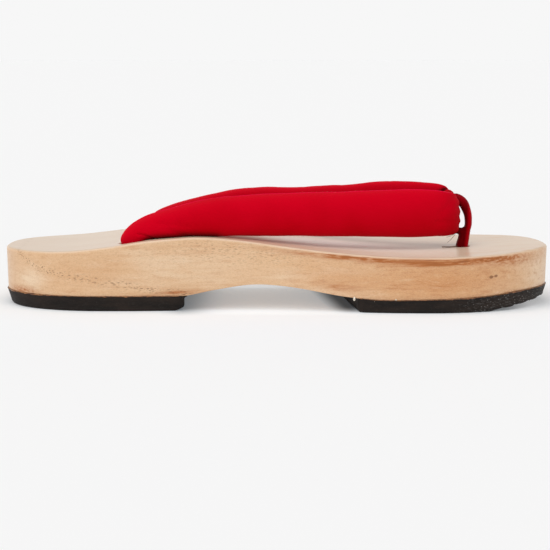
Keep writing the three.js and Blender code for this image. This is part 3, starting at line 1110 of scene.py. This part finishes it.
@dataclass
class SolePad:
    """Rubber pad under the heel or the forefoot, glued to the underside of the base."""

    sole: Sole
    node: str
    end: RoundEnd
    straight_x: float
    skew: float
    corner: float
    draw_tip: float
    draw_side: float
    ground: Surface
    end_cut: tuple[float, float]
    lip: float
    ragged: float
    bevel: float = 1.4
    gap: float = 0.03
    end_fade: float = 3.0
    cut_from_y: float = -26.0
    cut_over: float = 9.0
    ragged_from: float = 70.0
    ragged_over: float = 40.0
    glue_radius: float = 0.28
    glue_uneven: float = 0.14
    sharp_over: float = 35.0
    stations: int = 96
    top_rings: int = 7
    side_rings: int = 13
    low_rings: int = 7
    under_rings: int = 9

    def plan(self) -> Array:
        """Outline from the middle of the straight end along one side to the tip and back.

        Returns:
            One row of x and y for each point.
        """
        share = (1 - np.cos(np.pi * np.arange(self.stations) / self.stations)) / 2
        sides = {}
        for side in Side:
            at_end = self.sole.sides.line(side.value, np.array([self.straight_x]), "x")[0]
            start = self.straight_x + self.skew * at_end
            x = start + (self.end.tip - start) * share
            from_corner = np.clip(self.corner - np.abs(x - start), 0, None)
            cut = self.corner - np.sqrt(self.corner**2 - from_corner**2)
            y = self.sole.edge_y(x, side)
            sides[side] = np.stack([x, y - np.sign(y) * cut], -1)
        near, far = (Side.MEDIAL, Side.LATERAL) if self.end.tip > 0 else (Side.LATERAL, Side.MEDIAL)
        start, tip = [[self.straight_x, 0.0]], [[self.end.tip, self.end.tip_y]]
        return np.concatenate([start, sides[near], tip, sides[far][::-1]])

    def levels(self) -> list[Level]:
        """Rings from the glued top, down the side, over the worn lower edge and under the pad.

        Returns:
            The rings in their order.
        """
        tip, side = self.draw_tip, self.draw_side
        top = raised(self.sole.underside, -self.gap)
        rings = [Level(0, 0, top, f) for f in np.linspace(0, 1, self.top_rings)]
        foot = raised(self.ground, self.bevel)
        for share in np.linspace(0, 1, self.side_rings)[1:]:
            rings.append(Level(tip * 0.5 * share, side * 0.4 * share, between(top, foot, share)))
        for a in np.linspace(0, np.pi / 2, self.low_rings)[1:]:
            out, down = 1 - math.cos(a), math.sin(a)
            draw_tip, draw_side = tip * (0.5 + 0.5 * out), side * (0.4 + 0.6 * out)
            rings.append(Level(draw_tip, draw_side, raised(self.ground, self.bevel * (1 - down))))
        fills = np.linspace(1, 0, self.under_rings)[1:]
        return rings + [Level(tip, side, self.ground, f) for f in fills]

    def wear(self, skin: Array) -> Array:
        """Cuts back the straight end near the ground, and roughens the edge that scuffs.

        At the medial corner the end is set back by a share of the cut that falls with the square of
        the height, and its top millimetre stands out as a lip. Both fade within a few mm. The lower
        edge is lifted unevenly by ripples from some way before the toe spring.

        Args:
            skin: the new pad's points by ring and place on the outline.

        Returns:
            The worn pad's points.
        """
        x, y, z = (skin[..., i] for i in range(3))
        inwards = np.sign(self.end.tip)
        start = self.straight_x + self.skew * y
        near = bell(np.clip((x - start) * inwards, 0, None), self.end_fade)
        back, high = self.end_cut
        corner = np.clip((self.cut_from_y - y) / self.cut_over, 0, 1)
        cut = back * np.clip(1 - (z - self.ground(x)) / high, 0, 1) ** 2 * corner
        lip = self.lip * np.clip(1.6 - (self.sole.underside(x) - z) / 0.7, 0, 1) * (y < -20)
        x = x + inwards * near * (cut - lip)
        edge = bell(z - self.ground(x) - 0.5, 1.1)
        toe = np.clip((x - self.ragged_from) / self.ragged_over, 0, 1)
        lift = (ripple(x, y, 11, (9.0, 4.0, 2.2)) * 0.5 + 0.5) * edge * toe * self.ragged
        fine = ripple(x + z * 2, y, 5, (13.0, 5.0)) * 0.05 * (z > self.ground(x) + 0.05)
        return np.stack([x, y + fine * np.sign(y), z + np.clip(lift, 0, None)], -1)

    def glue(self) -> bpy.types.Object:
        """Squeezed-out glue along the joint: an uneven bead that follows the pad's outline.

        Returns:
            The bead as an object.
        """
        plan = self.plan()
        centre = np.array([self.straight_x, 0.0])
        outward = np.gradient(plan, axis=0) @ np.array([[0.0, -1.0], [1.0, 0.0]])
        outward /= np.linalg.norm(outward, axis=1, keepdims=True)
        outward *= np.sign(((plan - centre) * outward).sum(1, keepdims=True).sum())
        run = ripple(plan[:, 0], plan[:, 1], 23, (21.0, 8.0, 3.1))
        radius = np.clip(self.glue_radius + self.glue_uneven * run, 0.1, 0.5)
        line = plan - outward * 0.32
        middles = np.column_stack([line, self.sole.underside(line[:, 0]) + 0.02])
        across = np.column_stack([outward * radius[:, None], np.zeros(len(plan))])
        up = np.zeros_like(across)
        up[:, 2] = radius
        grid = oval(middles, across, up, 2.0, 8)
        faces = grid_faces(*grid.shape[:2], close_rows=True).tolist()
        return mesh_object(self.node.replace("pad", "glue_line"), grid, faces)

    def build(self) -> list[bpy.types.Object]:
        """Makes the pad and its glue line and dresses them.

        Returns:
            The pad and its glue line.
        """
        skin = self.wear(clam_skin(self.plan(), (self.straight_x, 0.0), self.levels()))
        pad = mesh_object(f"{self.node}_rubber", skin, grid_faces(*skin.shape[:2]).tolist())
        shade(pad, math.radians(self.sharp_over))
        pad.data.materials.append(RubberFinish().material(f"{self.node}_rubber"))
        glue = self.glue()
        shade(glue)
        glue.data.materials.append(AMBER_GLUE.material(f"{self.node}_glue"))
        return [settle(pad, Slot.RUBBER, self.node), settle(glue, Slot.RUBBER)]


def heel_pad(sole: Sole) -> SolePad:
    """The pad under the heel, flat to its round tip.

    Args:
        sole: the sole that it is cut to.

    Returns:
        The pad, not yet built.
    """
    return SolePad(
        sole, "heel_pad", sole.heel, straight_x=-44.3, skew=-0.06, corner=3, draw_tip=3.4,
        draw_side=1.6, ground=np.zeros_like, end_cut=(3.2, 2.6), lip=1.3, ragged=0.0,
    )


def forefoot_pad(sole: Sole) -> SolePad:
    """The pad under the ball of the foot, cut askew behind and lifted at the toe.

    Args:
        sole: the sole that it is cut to.

    Returns:
        The pad, not yet built.
    """
    return SolePad(
        sole, "forefoot_pad", sole.toe, straight_x=32.8, skew=-0.095, corner=2.2, draw_tip=2.2,
        draw_side=1.4, ground=sole.toe_spring, end_cut=(1.0, 3.4), lip=0.0, ragged=0.55,
    )


# ---- strap -------------------------------------------------------------------------------------


@dataclass(frozen=True)
class Crease:
    """Soft trough along a straight line on the unrolled cloth, or a ridge if its depth is negative.

    s is the distance along the strap from its fold, less than 0 on the medial arm. v is the
    distance round the tube from its upper edge, towards the outer side of the arm.
    """

    s0: float
    v0: float
    s1: float
    v1: float
    width: float
    depth: float

    def depth_at(self, s: Array, v: Array) -> Array:
        """How deep it is at points of the cloth: a bell across the line that fades at its ends.

        Args:
            s: distances along the strap.
            v: distances round the tube.

        Returns:
            The depth at each point, in mm.
        """
        run = np.array([self.s1 - self.s0, self.v1 - self.v0])
        length = np.linalg.norm(run)
        unit = run / length
        along = (s - self.s0) * unit[0] + (v - self.v0) * unit[1]
        across = (s - self.s0) * unit[1] - (v - self.v0) * unit[0]
        past = np.clip(np.maximum(-along, along - length), 0, None)
        return self.depth * bell(across, self.width) * bell(past, self.width * 1.6)


STRAP_COLUMNS = "low_x low top_x top y lean thick heading"
TAIL = Table.of(
    "low_x low top_x top thick",
    [(3.8, 20, -3.8, 20, 5.6), (5.2, 28, -5.2, 28, 7), (6.4, 31.6, -6, 32.9, 7.8),
     (9.2, 32.2, -2, 38.4, 8.3)],
)
MEDIAL_ARM = [
    (-53, 32.4, -60.3, 42.6, -30.1, 0.6, 8.7, 3),
    (-46, 32.9, -50, 45.9, -29.8, 1.2, 9.1, 4),
    (-34, 33.3, -36, 49.6, -28.7, 2, 9.4, 6),
    (-14, 33.3, -14, 51.9, -26.2, 2.8, 9.6, 8),
    (10, 32.9, 10, 52.6, -22.6, 3, 9.6, 9),
    (34, 32.1, 34, 52.7, -18.4, 2.6, 9.4, 11),
    (58, 31.2, 58, 53.4, -13.6, 1.6, 8.6, 11),
    (73, 31.1, 73, 52.9, -10.8, 0.6, 7.2, 9),
    (80.5, 31.3, 80.3, 52, -9.6, 0, 6, 14),
    (84.6, 32.4, 83.9, 50.6, -7.9, 0, 4.8, 52),
]
FOLD = [(84.6, 36.2, 84.4, 47.2, -4.2, 0, 3.8, 90)]
LATERAL_ARM = [
    (-45.6, 32.8, -52.9, 41.9, 26.6, 0.6, 8.7, 177),
    (-39, 33.1, -42.8, 45.1, 26.2, 1.2, 9.1, 176),
    (-28, 33.3, -29.2, 48.4, 24.9, 2, 9.4, 172),
    (-14, 33.5, -14, 51, 22.6, 2.8, 9.6, 169),
    (10, 33, 10, 52, 18, 3, 9.6, 166),
    (34, 32.8, 34, 53.6, 12.2, 2.6, 9.4, 163),
    (58, 33, 58, 56, 5.6, 1.6, 8.6, 164),
    (73, 32.6, 73, 55.3, 2.2, 0.6, 7.2, 170),
    (80.5, 32.6, 80.3, 54, 1.2, 0, 6, 166),
    (84.2, 33.2, 83.8, 51, -0.5, 0, 4.8, 128),
]


@dataclass
class HanaoStrap:
    """Padded cloth tube: out of one hole, forward, round the toe loop's fold and back."""

    sole: Sole
    medial_hole: tuple[float, float] = (-65.3, -30.2)
    lateral_hole: tuple[float, float] = (-58, 26.8)
    hole_reach: tuple[float, float] = (6.9, 5.0)
    squareness: float = 2.4
    steps: int = 640
    sides: int = 96
    seam_at: float = 1.1
    plain_from: float = 162.0
    plain_over: float = 12.0
    pucker_pitch: float = 4.6
    # where the painted contact shadow lies on the wood
    contact_x: float = -43.0
    contact_half: float = 15.0
    creases: tuple[Crease, ...] = (
        # where the medial arm bends into its hole
        Crease(-140, 12, -128, 21, 1.3, 0.5),
        Crease(-143, 8, -131, 13, 1.2, 0.3),
        Crease(-146, 19, -133, 23, 1.0, 0.35),
        # fanning out from the fold, on both arms
        Crease(-5, 3, -12, 12, 1.4, 0.35),
        Crease(-4, 14, -13, 16, 1.2, 0.35),
        Crease(-4, 19, -12, 23, 1.2, 0.3),
        Crease(5, 3, 12, 11, 1.4, 0.35),
        Crease(4, 14, 13, 16, 1.2, 0.3),
        # notch at the fold's top, and tuck at the mouth of the medial hole
        Crease(5.6, 1.0, 9.8, -4.6, 0.95, 1.35),
        Crease(-153.6, 9.0, -150.5, 18, 0.8, 0.6),
    )

    def tail(self, hole: tuple[float, float], heading: float) -> list[tuple[float, ...]]:
        """Section rows of a tail that stands in its hole and bends over the edge.

        Args:
            hole: x and y of the hole's middle.
            heading: the tail's heading in plan.

        Returns:
            The rows from inside the hole upwards.
        """
        c = TAIL.columns
        return [
            (hole[0] + c["low_x"][i], c["low"][i], hole[0] + c["top_x"][i], c["top"][i],
             hole[1], 0.0, c["thick"][i], heading)
            for i in range(TAIL.rows())
        ]

    def rows(self) -> Table:
        """Every section row from the medial tail to the lateral one.

        Returns:
            The table of all sections.
        """
        medial = self.tail(self.medial_hole, 2) + MEDIAL_ARM
        lateral = self.tail(self.lateral_hole, 178) + LATERAL_ARM
        return Table.of(STRAP_COLUMNS, medial + FOLD + lateral[::-1])

    def surface(self) -> tuple[Array, Array, Array]:
        """The tube's points, with how far each lies along the strap and around it.

        A section stands on the line from its lower to its upper edge. Its other axis lies level,
        square to its heading, and its upper edge leans inwards.

        Returns:
            Points by section and angle, distance from the fold, and distance round from the upper
            edge to the outer side.
        """
        table = self.rows()
        t = np.linspace(0, table.rows() - 1, self.steps + 1)
        c = {name: table.line(name, t) for name in STRAP_COLUMNS.split()}
        turn = np.radians(c["heading"])
        across = np.stack([-np.sin(turn), np.cos(turn), np.zeros_like(turn)], -1)
        inward = across * c["lean"][:, None] / 2
        low = np.stack([c["low_x"], c["y"], c["low"]], -1) - inward
        top = np.stack([c["top_x"], c["y"], c["top"]], -1) + inward
        centre = (low + top) / 2
        half = across * c["thick"][:, None] / 2
        grid = oval(centre, half, (top - low) / 2, self.squareness, self.sides)
        step = np.linalg.norm(np.diff(centre, axis=0), axis=1)
        along = np.concatenate([[0], np.cumsum(step)])
        along -= along[np.argmin(np.abs(t - len(MEDIAL_ARM) - TAIL.rows()))]
        edge = np.linalg.norm(np.roll(grid, -1, 1) - grid, axis=-1)
        run = np.cumsum(edge, 1) - edge
        around = run - run[:, self.sides // 4][:, None]
        whole = edge.sum(1)[:, None]
        around = (around + whole * 0.5) % whole - whole * 0.5
        return grid, np.broadcast_to(along[:, None], around.shape), around

    def relief(self, s: Array, v: Array, grid: Array) -> tuple[Array, Array]:
        """How far the cloth stands out of the smooth tube, and how much of a point is seam.

        Args:
            s: each point's distance along the strap.
            v: each point's distance round the tube.
            grid: the smooth tube's points.

        Returns:
            Height in mm, and a share from 0 to 1 for the seam's raised welt and its painted highlight.
        """
        visible = np.clip((self.plain_from - np.abs(s)) / self.plain_over, 0, 1)
        uneven = ripple(s, v, 3, (46.0, 23.0)) * 0.13 + ripple(s, v, 8, (11.0,)) * 0.035
        wander = self.seam_at + ripple(s, v * 0, 31, (70.0, 26.0)) * 0.25
        welt_and_highlight = bell(v - wander, 0.30)
        groove = bell(v - wander + 0.8, 0.40)
        fade = np.clip((np.abs(s) - 5) / 6, 0, 1) * visible
        height = uneven * visible + (welt_and_highlight * 0.28 - groove * 0.30) * fade
        for crease in self.creases:
            height = height - crease.depth_at(s, v)
        pucker = np.sin(TAU * grid[..., 2] / self.pucker_pitch) * bell(s, 5.0) * 0.35
        return height + pucker, welt_and_highlight * fade

    def painted_shade(self, s: Array, v: Array, grid: Array) -> Array:
        """Painted shade on the cloth, from 0 to 1.

        The shade is painted between the two arms, under its lower edge, as a contact shadow where it
        presses on the wood behind, at its fold and along its deepest creases.

        Args:
            s: each point's distance along the strap.
            v: each point's distance round the tube.
            grid: the tube's points.

        Returns:
            The darkness at each point.
        """
        x, z = grid[..., 0], grid[..., 2]
        inner = np.clip((-1.8 - v) / 1.6, 0, 1) * np.clip((np.abs(s) - 6) / 5, 0, 1) * 0.10
        lower = np.clip((35.0 - z) / 3.0, 0, 1) * 0.12
        low = z - self.sole.footbed(x)
        off_contact = np.clip(np.abs(x - self.contact_x) - self.contact_half, 0, None)
        painted_contact_shadow = bell(np.clip(low, 0, None), 2.1) * bell(off_contact, 3.0)
        front = bell(s, 9.0) * 0.30
        deep = sum(np.clip(crease.depth_at(s, v) - 0.45, 0, 1) for crease in self.creases) * 1.1
        return np.clip(inner + lower + painted_contact_shadow * 0.9 + front + deep, 0, 0.97)

    def rest_on_footbed(self, grid: Array) -> Array:
        """Flattens the tube where it presses on the wood, outside its two holes.

        Args:
            grid: the tube's points by section and angle.

        Returns:
            The points, none of them below the footbed outside the holes.
        """
        x, y, z = (grid[..., i] for i in range(3))
        inside = np.zeros(z.shape, bool)
        for hole in (self.medial_hole, self.lateral_hole):
            far = np.hypot((x - hole[0]) / self.hole_reach[0], (y - hole[1]) / self.hole_reach[1])
            inside |= far < 1
        lifted = np.maximum(z, self.sole.footbed(x) + 0.04)
        return np.stack([x, y, np.where(inside, z, lifted)], -1)

    def build(self) -> list[bpy.types.Object]:
        """Makes the strap, with its seam and creases, and dresses it.

        Returns:
            The strap.
        """
        grid, along, around = self.surface()
        height, welt_and_highlight = self.relief(along, around, grid)
        grid = self.rest_on_footbed(grid + outward_normals(grid) * height[..., None])
        strap = plain_object("hanao_strap_cloth", grid, tube_faces(*grid.shape[:2]))
        dark = self.painted_shade(along, around, grid)
        stored = {"along": along, "around": around, "seam": welt_and_highlight, "shade": dark}
        for name, values in stored.items():
            add_point_values(strap, name, values)
        shade(strap)
        strap.data.materials.append(ClothFinish().material("strap_cloth", True))
        settle(strap, Slot.STRAP, "hanao_strap")
        return [strap]


# ---- toe loop ----------------------------------------------------------------------------------

LOOP_RING = Table.of(
    "x z wide thick",
    [
        (90.6, 34.4, 5.8, 3.2), (91.0, 38.6, 6.2, 3.5), (90.1, 42.9, 6.4, 4.0),
        (88.1, 46.7, 6.2, 4.6), (84.9, 48.6, 5, 4.4), (81.4, 48.4, 3.7, 2.8),
        (79.6, 44.8, 3.2, 2.8), (79.6, 39.6, 3.2, 2.8), (81.6, 35.4, 3.4, 2.8),
        (85.4, 33.4, 4.2, 3), (88.6, 32.8, 5.4, 3.4),
    ],
)
LOOP_POST = Table.of(
    "x z wide long",
    [(88.2, 16, 5.4, 5.4), (88.2, 25.5, 6, 5.8), (88.9, 29.5, 5.8, 5.3), (89.6, 33.5, 5.2, 5)],
)


@dataclass
class ToeLoop:
    """Narrow cloth band that goes over the strap's fold and down into the toe hole."""

    y: float = -4.2
    squareness: float = 2.6
    sides: int = 40
    ring_steps: int = 200
    post_steps: int = 60
    ring_length: float = 62.0
    voxel: float = 0.28

    def ring(self) -> bpy.types.Object:
        """The closed ring: sections square to a closed line in an upright plane.

        Returns:
            The ring as an object.
        """
        turn = np.arange(self.ring_steps) / self.ring_steps
        x, z = LOOP_RING.loop("x", turn), LOOP_RING.loop("z", turn)
        centre = np.stack([x, np.full_like(x, self.y), z], -1)
        tangent = np.roll(centre, -1, 0) - np.roll(centre, 1, 0)
        across = np.array([0.0, 1.0, 0.0])
        outward = np.cross(across, tangent)
        outward /= np.linalg.norm(outward, axis=1, keepdims=True)
        thick, wide = LOOP_RING.loop("thick", turn), LOOP_RING.loop("wide", turn)
        half_wide = across[None, :] * wide[:, None] / 2
        grid = oval(centre, outward * thick[:, None] / 2, half_wide, self.squareness, self.sides)
        angle = np.broadcast_to(TAU * np.arange(self.sides) / self.sides, grid.shape[:2])
        along = turn[:, None] * self.ring_length
        edge_roll = bell(np.abs(np.sin(angle)) - 0.78, 0.16) * -0.22
        folds = np.sin(TAU * (np.abs(grid[..., 1] - self.y)) / 2.3 + 0.6) * 0.06
        uneven = ripple(along, angle * 2, 17, (14.0, 6.0)) * 0.08
        normals = outward_normals(grid, close_rows=True)
        grid = grid + normals * (edge_roll + folds + uneven)[..., None]
        faces = grid_faces(*grid.shape[:2], close_rows=True).tolist()
        return mesh_object("toe_loop_cloth", grid, faces)

    def post(self) -> bpy.types.Object:
        """The two legs drawn together, from the ring down into the hole.

        Returns:
            The post as an object.
        """
        t = np.linspace(0, LOOP_POST.rows() - 1, self.post_steps + 1)
        x, z = LOOP_POST.line("x", t), LOOP_POST.line("z", t)
        centre = np.stack([x, np.full_like(x, self.y), z], -1)
        flat = np.array([1.0, 0.0, 0.0]) * LOOP_POST.line("long", t)[:, None] / 2
        wide = np.array([0.0, 1.0, 0.0]) * LOOP_POST.line("wide", t)[:, None] / 2
        grid = oval(centre, flat, wide, self.squareness, self.sides)
        angle = np.broadcast_to(TAU * np.arange(self.sides) / self.sides, grid.shape[:2])
        split = bell(np.cos(angle) + 0.1, 0.16) * -0.55 * np.clip((z - 23) / 6, 0, 1)[:, None]
        grid = grid + outward_normals(grid) * split[..., None]
        return mesh_object("post", grid, tube_faces(*grid.shape[:2]))

    def painted_shade(self, points: Array) -> Array:
        """Painted shade, from 0 to 1: most on its inner, rear half, which faces the strap.

        Args:
            points: one row of x, y and z for each point.

        Returns:
            The darkness at each point.
        """
        x, z = points[:, 0], points[:, 2]
        rear = np.clip((91.3 - 0.10 * np.clip(38 - z, 0, 12) - x) / 1.4, 0, 1)
        high = np.clip((z - 44) / 5, 0, 1)
        return np.clip(0.27 + rear * 0.62 - high * 0.25 * rear, 0, 0.97)

    def build(self) -> list[bpy.types.Object]:
        """Joins the ring and the post into one soft band and dresses it.

        Returns:
            The loop.
        """
        loop = self.ring()
        boolean(loop, self.post(), "UNION")
        remesh = loop.modifiers.new("knit", "REMESH")
        remesh.mode, remesh.voxel_size, remesh.use_smooth_shade = "VOXEL", self.voxel * MM, True
        soften = loop.modifiers.new("soften", "SMOOTH")
        soften.factor, soften.iterations = 0.5, 4
        apply_modifiers(loop)
        shade(loop)
        add_point_values(loop, "shade", self.painted_shade(point_array(loop)))
        loop.data.materials.clear()
        loop.data.materials.append(ClothFinish().material("loop_cloth", False))
        settle(loop, Slot.LOOP, "toe_loop")
        return [loop]


# ---- small things ------------------------------------------------------------------------------


@dataclass(frozen=True)
class Strand:
    """A loose thread: a smooth round tube through a few points."""

    name: str
    radius: float
    points: tuple[Triple, ...]

    def build(self) -> bpy.types.Object:
        """Makes the strand, thinner at its two ends.

        Returns:
            The strand as an object.
        """
        t = np.linspace(0, len(self.points) - 1, 48)
        table = Table.of("x y z", self.points)
        line = np.stack([table.line(axis, t) for axis in "xyz"], -1)
        tangent = np.gradient(line, axis=0)
        tangent /= np.maximum(np.linalg.norm(tangent, axis=1, keepdims=True), TINY)
        side = np.cross(tangent, np.array([0.13, 0.31, 0.94]))
        side /= np.linalg.norm(side, axis=1, keepdims=True)
        up = np.cross(side, tangent)
        taper = np.clip(np.minimum(t, t[-1] - t) * 4, 0.25, 1)[:, None] * self.radius
        grid = oval(line, side * taper, up * taper, 2.0, 8)
        return mesh_object(self.name, grid, tube_faces(*grid.shape[:2]))


@dataclass(frozen=True)
class Drop:
    """A drop of glue: its middle, half its width and half its height."""

    x: float
    y: float
    z: float
    wide: float
    tall: float


@dataclass
class LooseEnds:
    """Loose fibres at the front of the strap, and drops of pale glue at the forefoot pad."""

    strands: tuple[Strand, ...] = (
        Strand("thread_on_footbed", 0.22, (
            (78.2, -8.2, 25.75), (79.8, -7.5, 25.7), (82.2, -7.6, 25.72), (86.0, -6.4, 25.8))),
        Strand("fibre_long", 0.09, (
            (84.9, -9.4, 32.6), (83.6, -10.2, 31.2), (81.9, -10.6, 29.2), (80.4, -10.8, 28.1))),
        Strand("fibre_short", 0.08, (
            (84.4, -9.4, 32.4), (82.4, -10.0, 31.3), (80.0, -10.2, 30.6))),
    )
    drops: tuple[Drop, ...] = (
        Drop(35.3, -42.7, 6.3, 0.55, 0.95),
        Drop(44.4, -44.0, 5.4, 0.35, 0.3),
        Drop(54.0, -45.05, 6.3, 0.42, 0.35),
    )

    def drop_mesh(self) -> bpy.types.Object:
        """All drops as closed egg shapes: circles whose radius is the sine of a falling angle.

        Returns:
            The drops as one object.
        """
        rows, cols = 14, 16
        polar = np.linspace(0, np.pi, rows)[:, None]
        turn = (TAU * np.arange(cols) / cols)[None, :]
        points, faces = [], []
        for n, drop in enumerate(self.drops):
            ring = np.sin(polar) * drop.wide
            x, y = drop.x + ring * np.cos(turn), drop.y + ring * np.sin(turn)
            height = drop.z - drop.tall * np.cos(polar) + np.zeros_like(turn)
            points.append(np.stack([x, y, height], -1))
            faces += (grid_faces(rows, cols) + n * rows * cols).tolist()
        return mesh_object("glue_drops", np.array(points), faces)

    def build(self) -> list[bpy.types.Object]:
        """Makes and dresses the small things.

        Returns:
            The strands, and the drops as one piece.
        """
        made = []
        fibre = FIBRE.material("loose_fibre")
        for strand in self.strands:
            piece = strand.build()
            piece.data.materials.append(fibre)
            made.append(settle(piece, Slot.STRAP))
        drops = self.drop_mesh()
        drops.data.materials.append(WHITE_GLUE.material("pale_glue"))
        made.append(settle(drops, Slot.RUBBER))
        for piece in made:
            shade(piece)
        return made


# ---- studio ------------------------------------------------------------------------------------


@dataclass
class Studio:
    """Pale floor that glows, soft daylight from all round and a camera low at the medial side.

    Places on the floor are in mm. A bell is given by its middle and width, a step by its start and
    end, and a band by the two edges on each side.
    """

    backdrop: float = 0.93
    floor_size: float = 40.0
    camera_at: Triple = (-0.0006, -0.746, 0.1171)
    camera_pitch: float = -8.08
    lens: float = 102.94
    horizon: float = 1.2
    sky: float = 0.45
    horizon_height: float = 0.22
    glow: float = 0.4
    floor_grey: float = 0.785
    glow_far: Colour = (0.375, 0.375, 0.375)
    glow_front: Colour = (0.36, 0.395, 0.43)
    glow_arch: Colour = (0.60, 0.705, 0.79)
    glow_toe: Colour = (0.85, 0.85, 0.86)
    front_bell_x: tuple[float, float] = (0, 170)
    front_bell_y: tuple[float, float] = (-62, 60)
    arch_band_x: tuple[float, float, float, float] = (-58, -42, 34, 46)
    arch_band_y: tuple[float, float, float, float] = (-54, -36, 34, 46)
    toe_middle: tuple[float, float] = (102, -6)
    toe_half: tuple[float, float] = (25, 32)
    toe_step_x: tuple[float, float] = (104, 120)
    heel_bell_x: tuple[float, float] = (-44, 12)
    pad_step_x: tuple[float, float] = (20, 31)
    pad_step_y: tuple[float, float] = (-50, -26)
    pad_slant: float = 0.14
    slant_about_y: float = -12
    sun: float = 1.75
    sun_spread: float = 75.0
    sun_tilt: tuple[float, float] = (-24.0, -14.0)

    def world(self) -> None:
        """Sky that is brightest low down, as in a white cove, and even where it is seen."""
        world = bpy.data.worlds.new("studio")
        bpy.context.scene.world = world
        world.use_nodes = True
        nodes, links = world.node_tree.nodes, world.node_tree.links
        seen = nodes.new("ShaderNodeLightPath").outputs["Is Camera Ray"]
        split = nodes.new("ShaderNodeSeparateXYZ")
        links.new(nodes.new("ShaderNodeTexCoord").outputs["Generated"], split.inputs[0])
        height = nodes.new("ShaderNodeMapRange")
        height.interpolation_type = "SMOOTHSTEP"
        links.new(split.outputs["Z"], height.inputs["Value"])
        height.inputs["From Max"].default_value = self.horizon_height * 2
        height.inputs["To Min"].default_value = self.horizon
        height.inputs["To Max"].default_value = self.sky
        strength = nodes.new("ShaderNodeMapRange")
        links.new(seen, strength.inputs["Value"])
        links.new(height.outputs[0], strength.inputs["To Min"])
        strength.inputs["To Max"].default_value = self.backdrop
        sky = nodes["Background"]
        sky.inputs["Color"].default_value = (1.0, 1.0, 1.0, 1.0)
        links.new(strength.outputs[0], sky.inputs["Strength"])

    def floor(self) -> None:
        """Pale matt floor that glows a little, by an amount that depends on the place.

        It glows most under the arch and the lifted toe, where the sole keeps the light out, and least,
        with a painted shadow on a darker ground, behind the forefoot pad and in front of the heel pad.
        """
        half = self.floor_size / MM / 2
        corners = np.array([(-half, -half, 0), (half, -half, 0), (half, half, 0), (-half, half, 0)])
        floor = mesh_object("floor", corners, [[0, 1, 2, 3]])
        s = Shader("floor", roughness=1.0, specular_ior_level=0.0, emission_strength=self.glow)
        p = s.place()
        x, y = s.part(p, 0), s.part(p, 1)
        front = y.bell(*self.front_bell_y) * x.bell(*self.front_bell_x)
        arch = y.inside(self.arch_band_y) * x.inside(self.arch_band_x)
        tip = ((x - self.toe_middle[0]) / self.toe_half[0]) ** 2
        tip = tip + ((y - self.toe_middle[1]) / self.toe_half[1]) ** 2
        toe = x.rise(*self.toe_step_x) * tip.rise(1.05, 0.6)
        slanted = x + (y - self.slant_about_y) * self.pad_slant
        behind_pad = slanted.rise(*self.pad_step_x) * y.rise(*self.pad_step_y) * 0.9
        # painted shadow on the floor, behind the forefoot pad and in front of the heel pad
        painted_floor_shadow = (behind_pad + x.bell(*self.heel_bell_x) * 0.5) * arch
        glow = s.mix(s.mix(self.glow_far, self.glow_front, front), self.glow_arch, arch)
        glow = s.mix(glow, self.glow_toe, toe)
        s.feed("Base Color", s.mix((self.floor_grey,) * 3, (0.03,) * 3, (painted_floor_shadow * 0.9).clamp()))
        s.feed("Emission Color", s.mix(glow, (0.01,) * 3, (painted_floor_shadow * 0.97).clamp()))
        floor.data.materials.append(s.material)

    def light(self) -> None:
        """One broad soft sun from above, turned to the medial side and a little to the heel."""
        data = bpy.data.lights.new("soft_sun", "SUN")
        data.energy = self.sun
        data.angle = math.radians(self.sun_spread)
        sun = bpy.data.objects.new("soft_sun", data)
        sun.rotation_euler = (math.radians(-self.sun_tilt[0]), math.radians(self.sun_tilt[1]), 0)
        bpy.context.scene.collection.objects.link(sun)

    def camera(self) -> None:
        """Camera with no roll, looking square across the sole and a little down."""
        data = bpy.data.cameras.new("camera")
        data.lens = self.lens
        data.sensor_width = 36.0
        camera = bpy.data.objects.new("camera", data)
        camera.location = self.camera_at
        camera.rotation_euler = (math.radians(90 + self.camera_pitch), 0, 0)
        bpy.context.scene.collection.objects.link(camera)
        bpy.context.scene.camera = camera

    def build(self) -> None:
        """Sets up the whole studio."""
        bpy.context.scene.view_settings.view_transform = "Standard"
        self.camera()
        self.world()
        self.floor()
        self.light()


def main() -> None:
    """Builds the studio and every piece in order, and notes the size of the result."""
    logging.basicConfig(level=logging.INFO, format="%(message)s")
    Studio().build()
    sole = Sole()
    assemblies = (
        WoodenBase(sole), heel_pad(sole), forefoot_pad(sole), HanaoStrap(sole), ToeLoop(), LooseEnds(),
    )
    for assembly in assemblies:
        for piece in assembly.build():
            LOG.info("%s: %d faces", piece.name, len(piece.data.polygons))


if __name__ == "__main__":
    main()
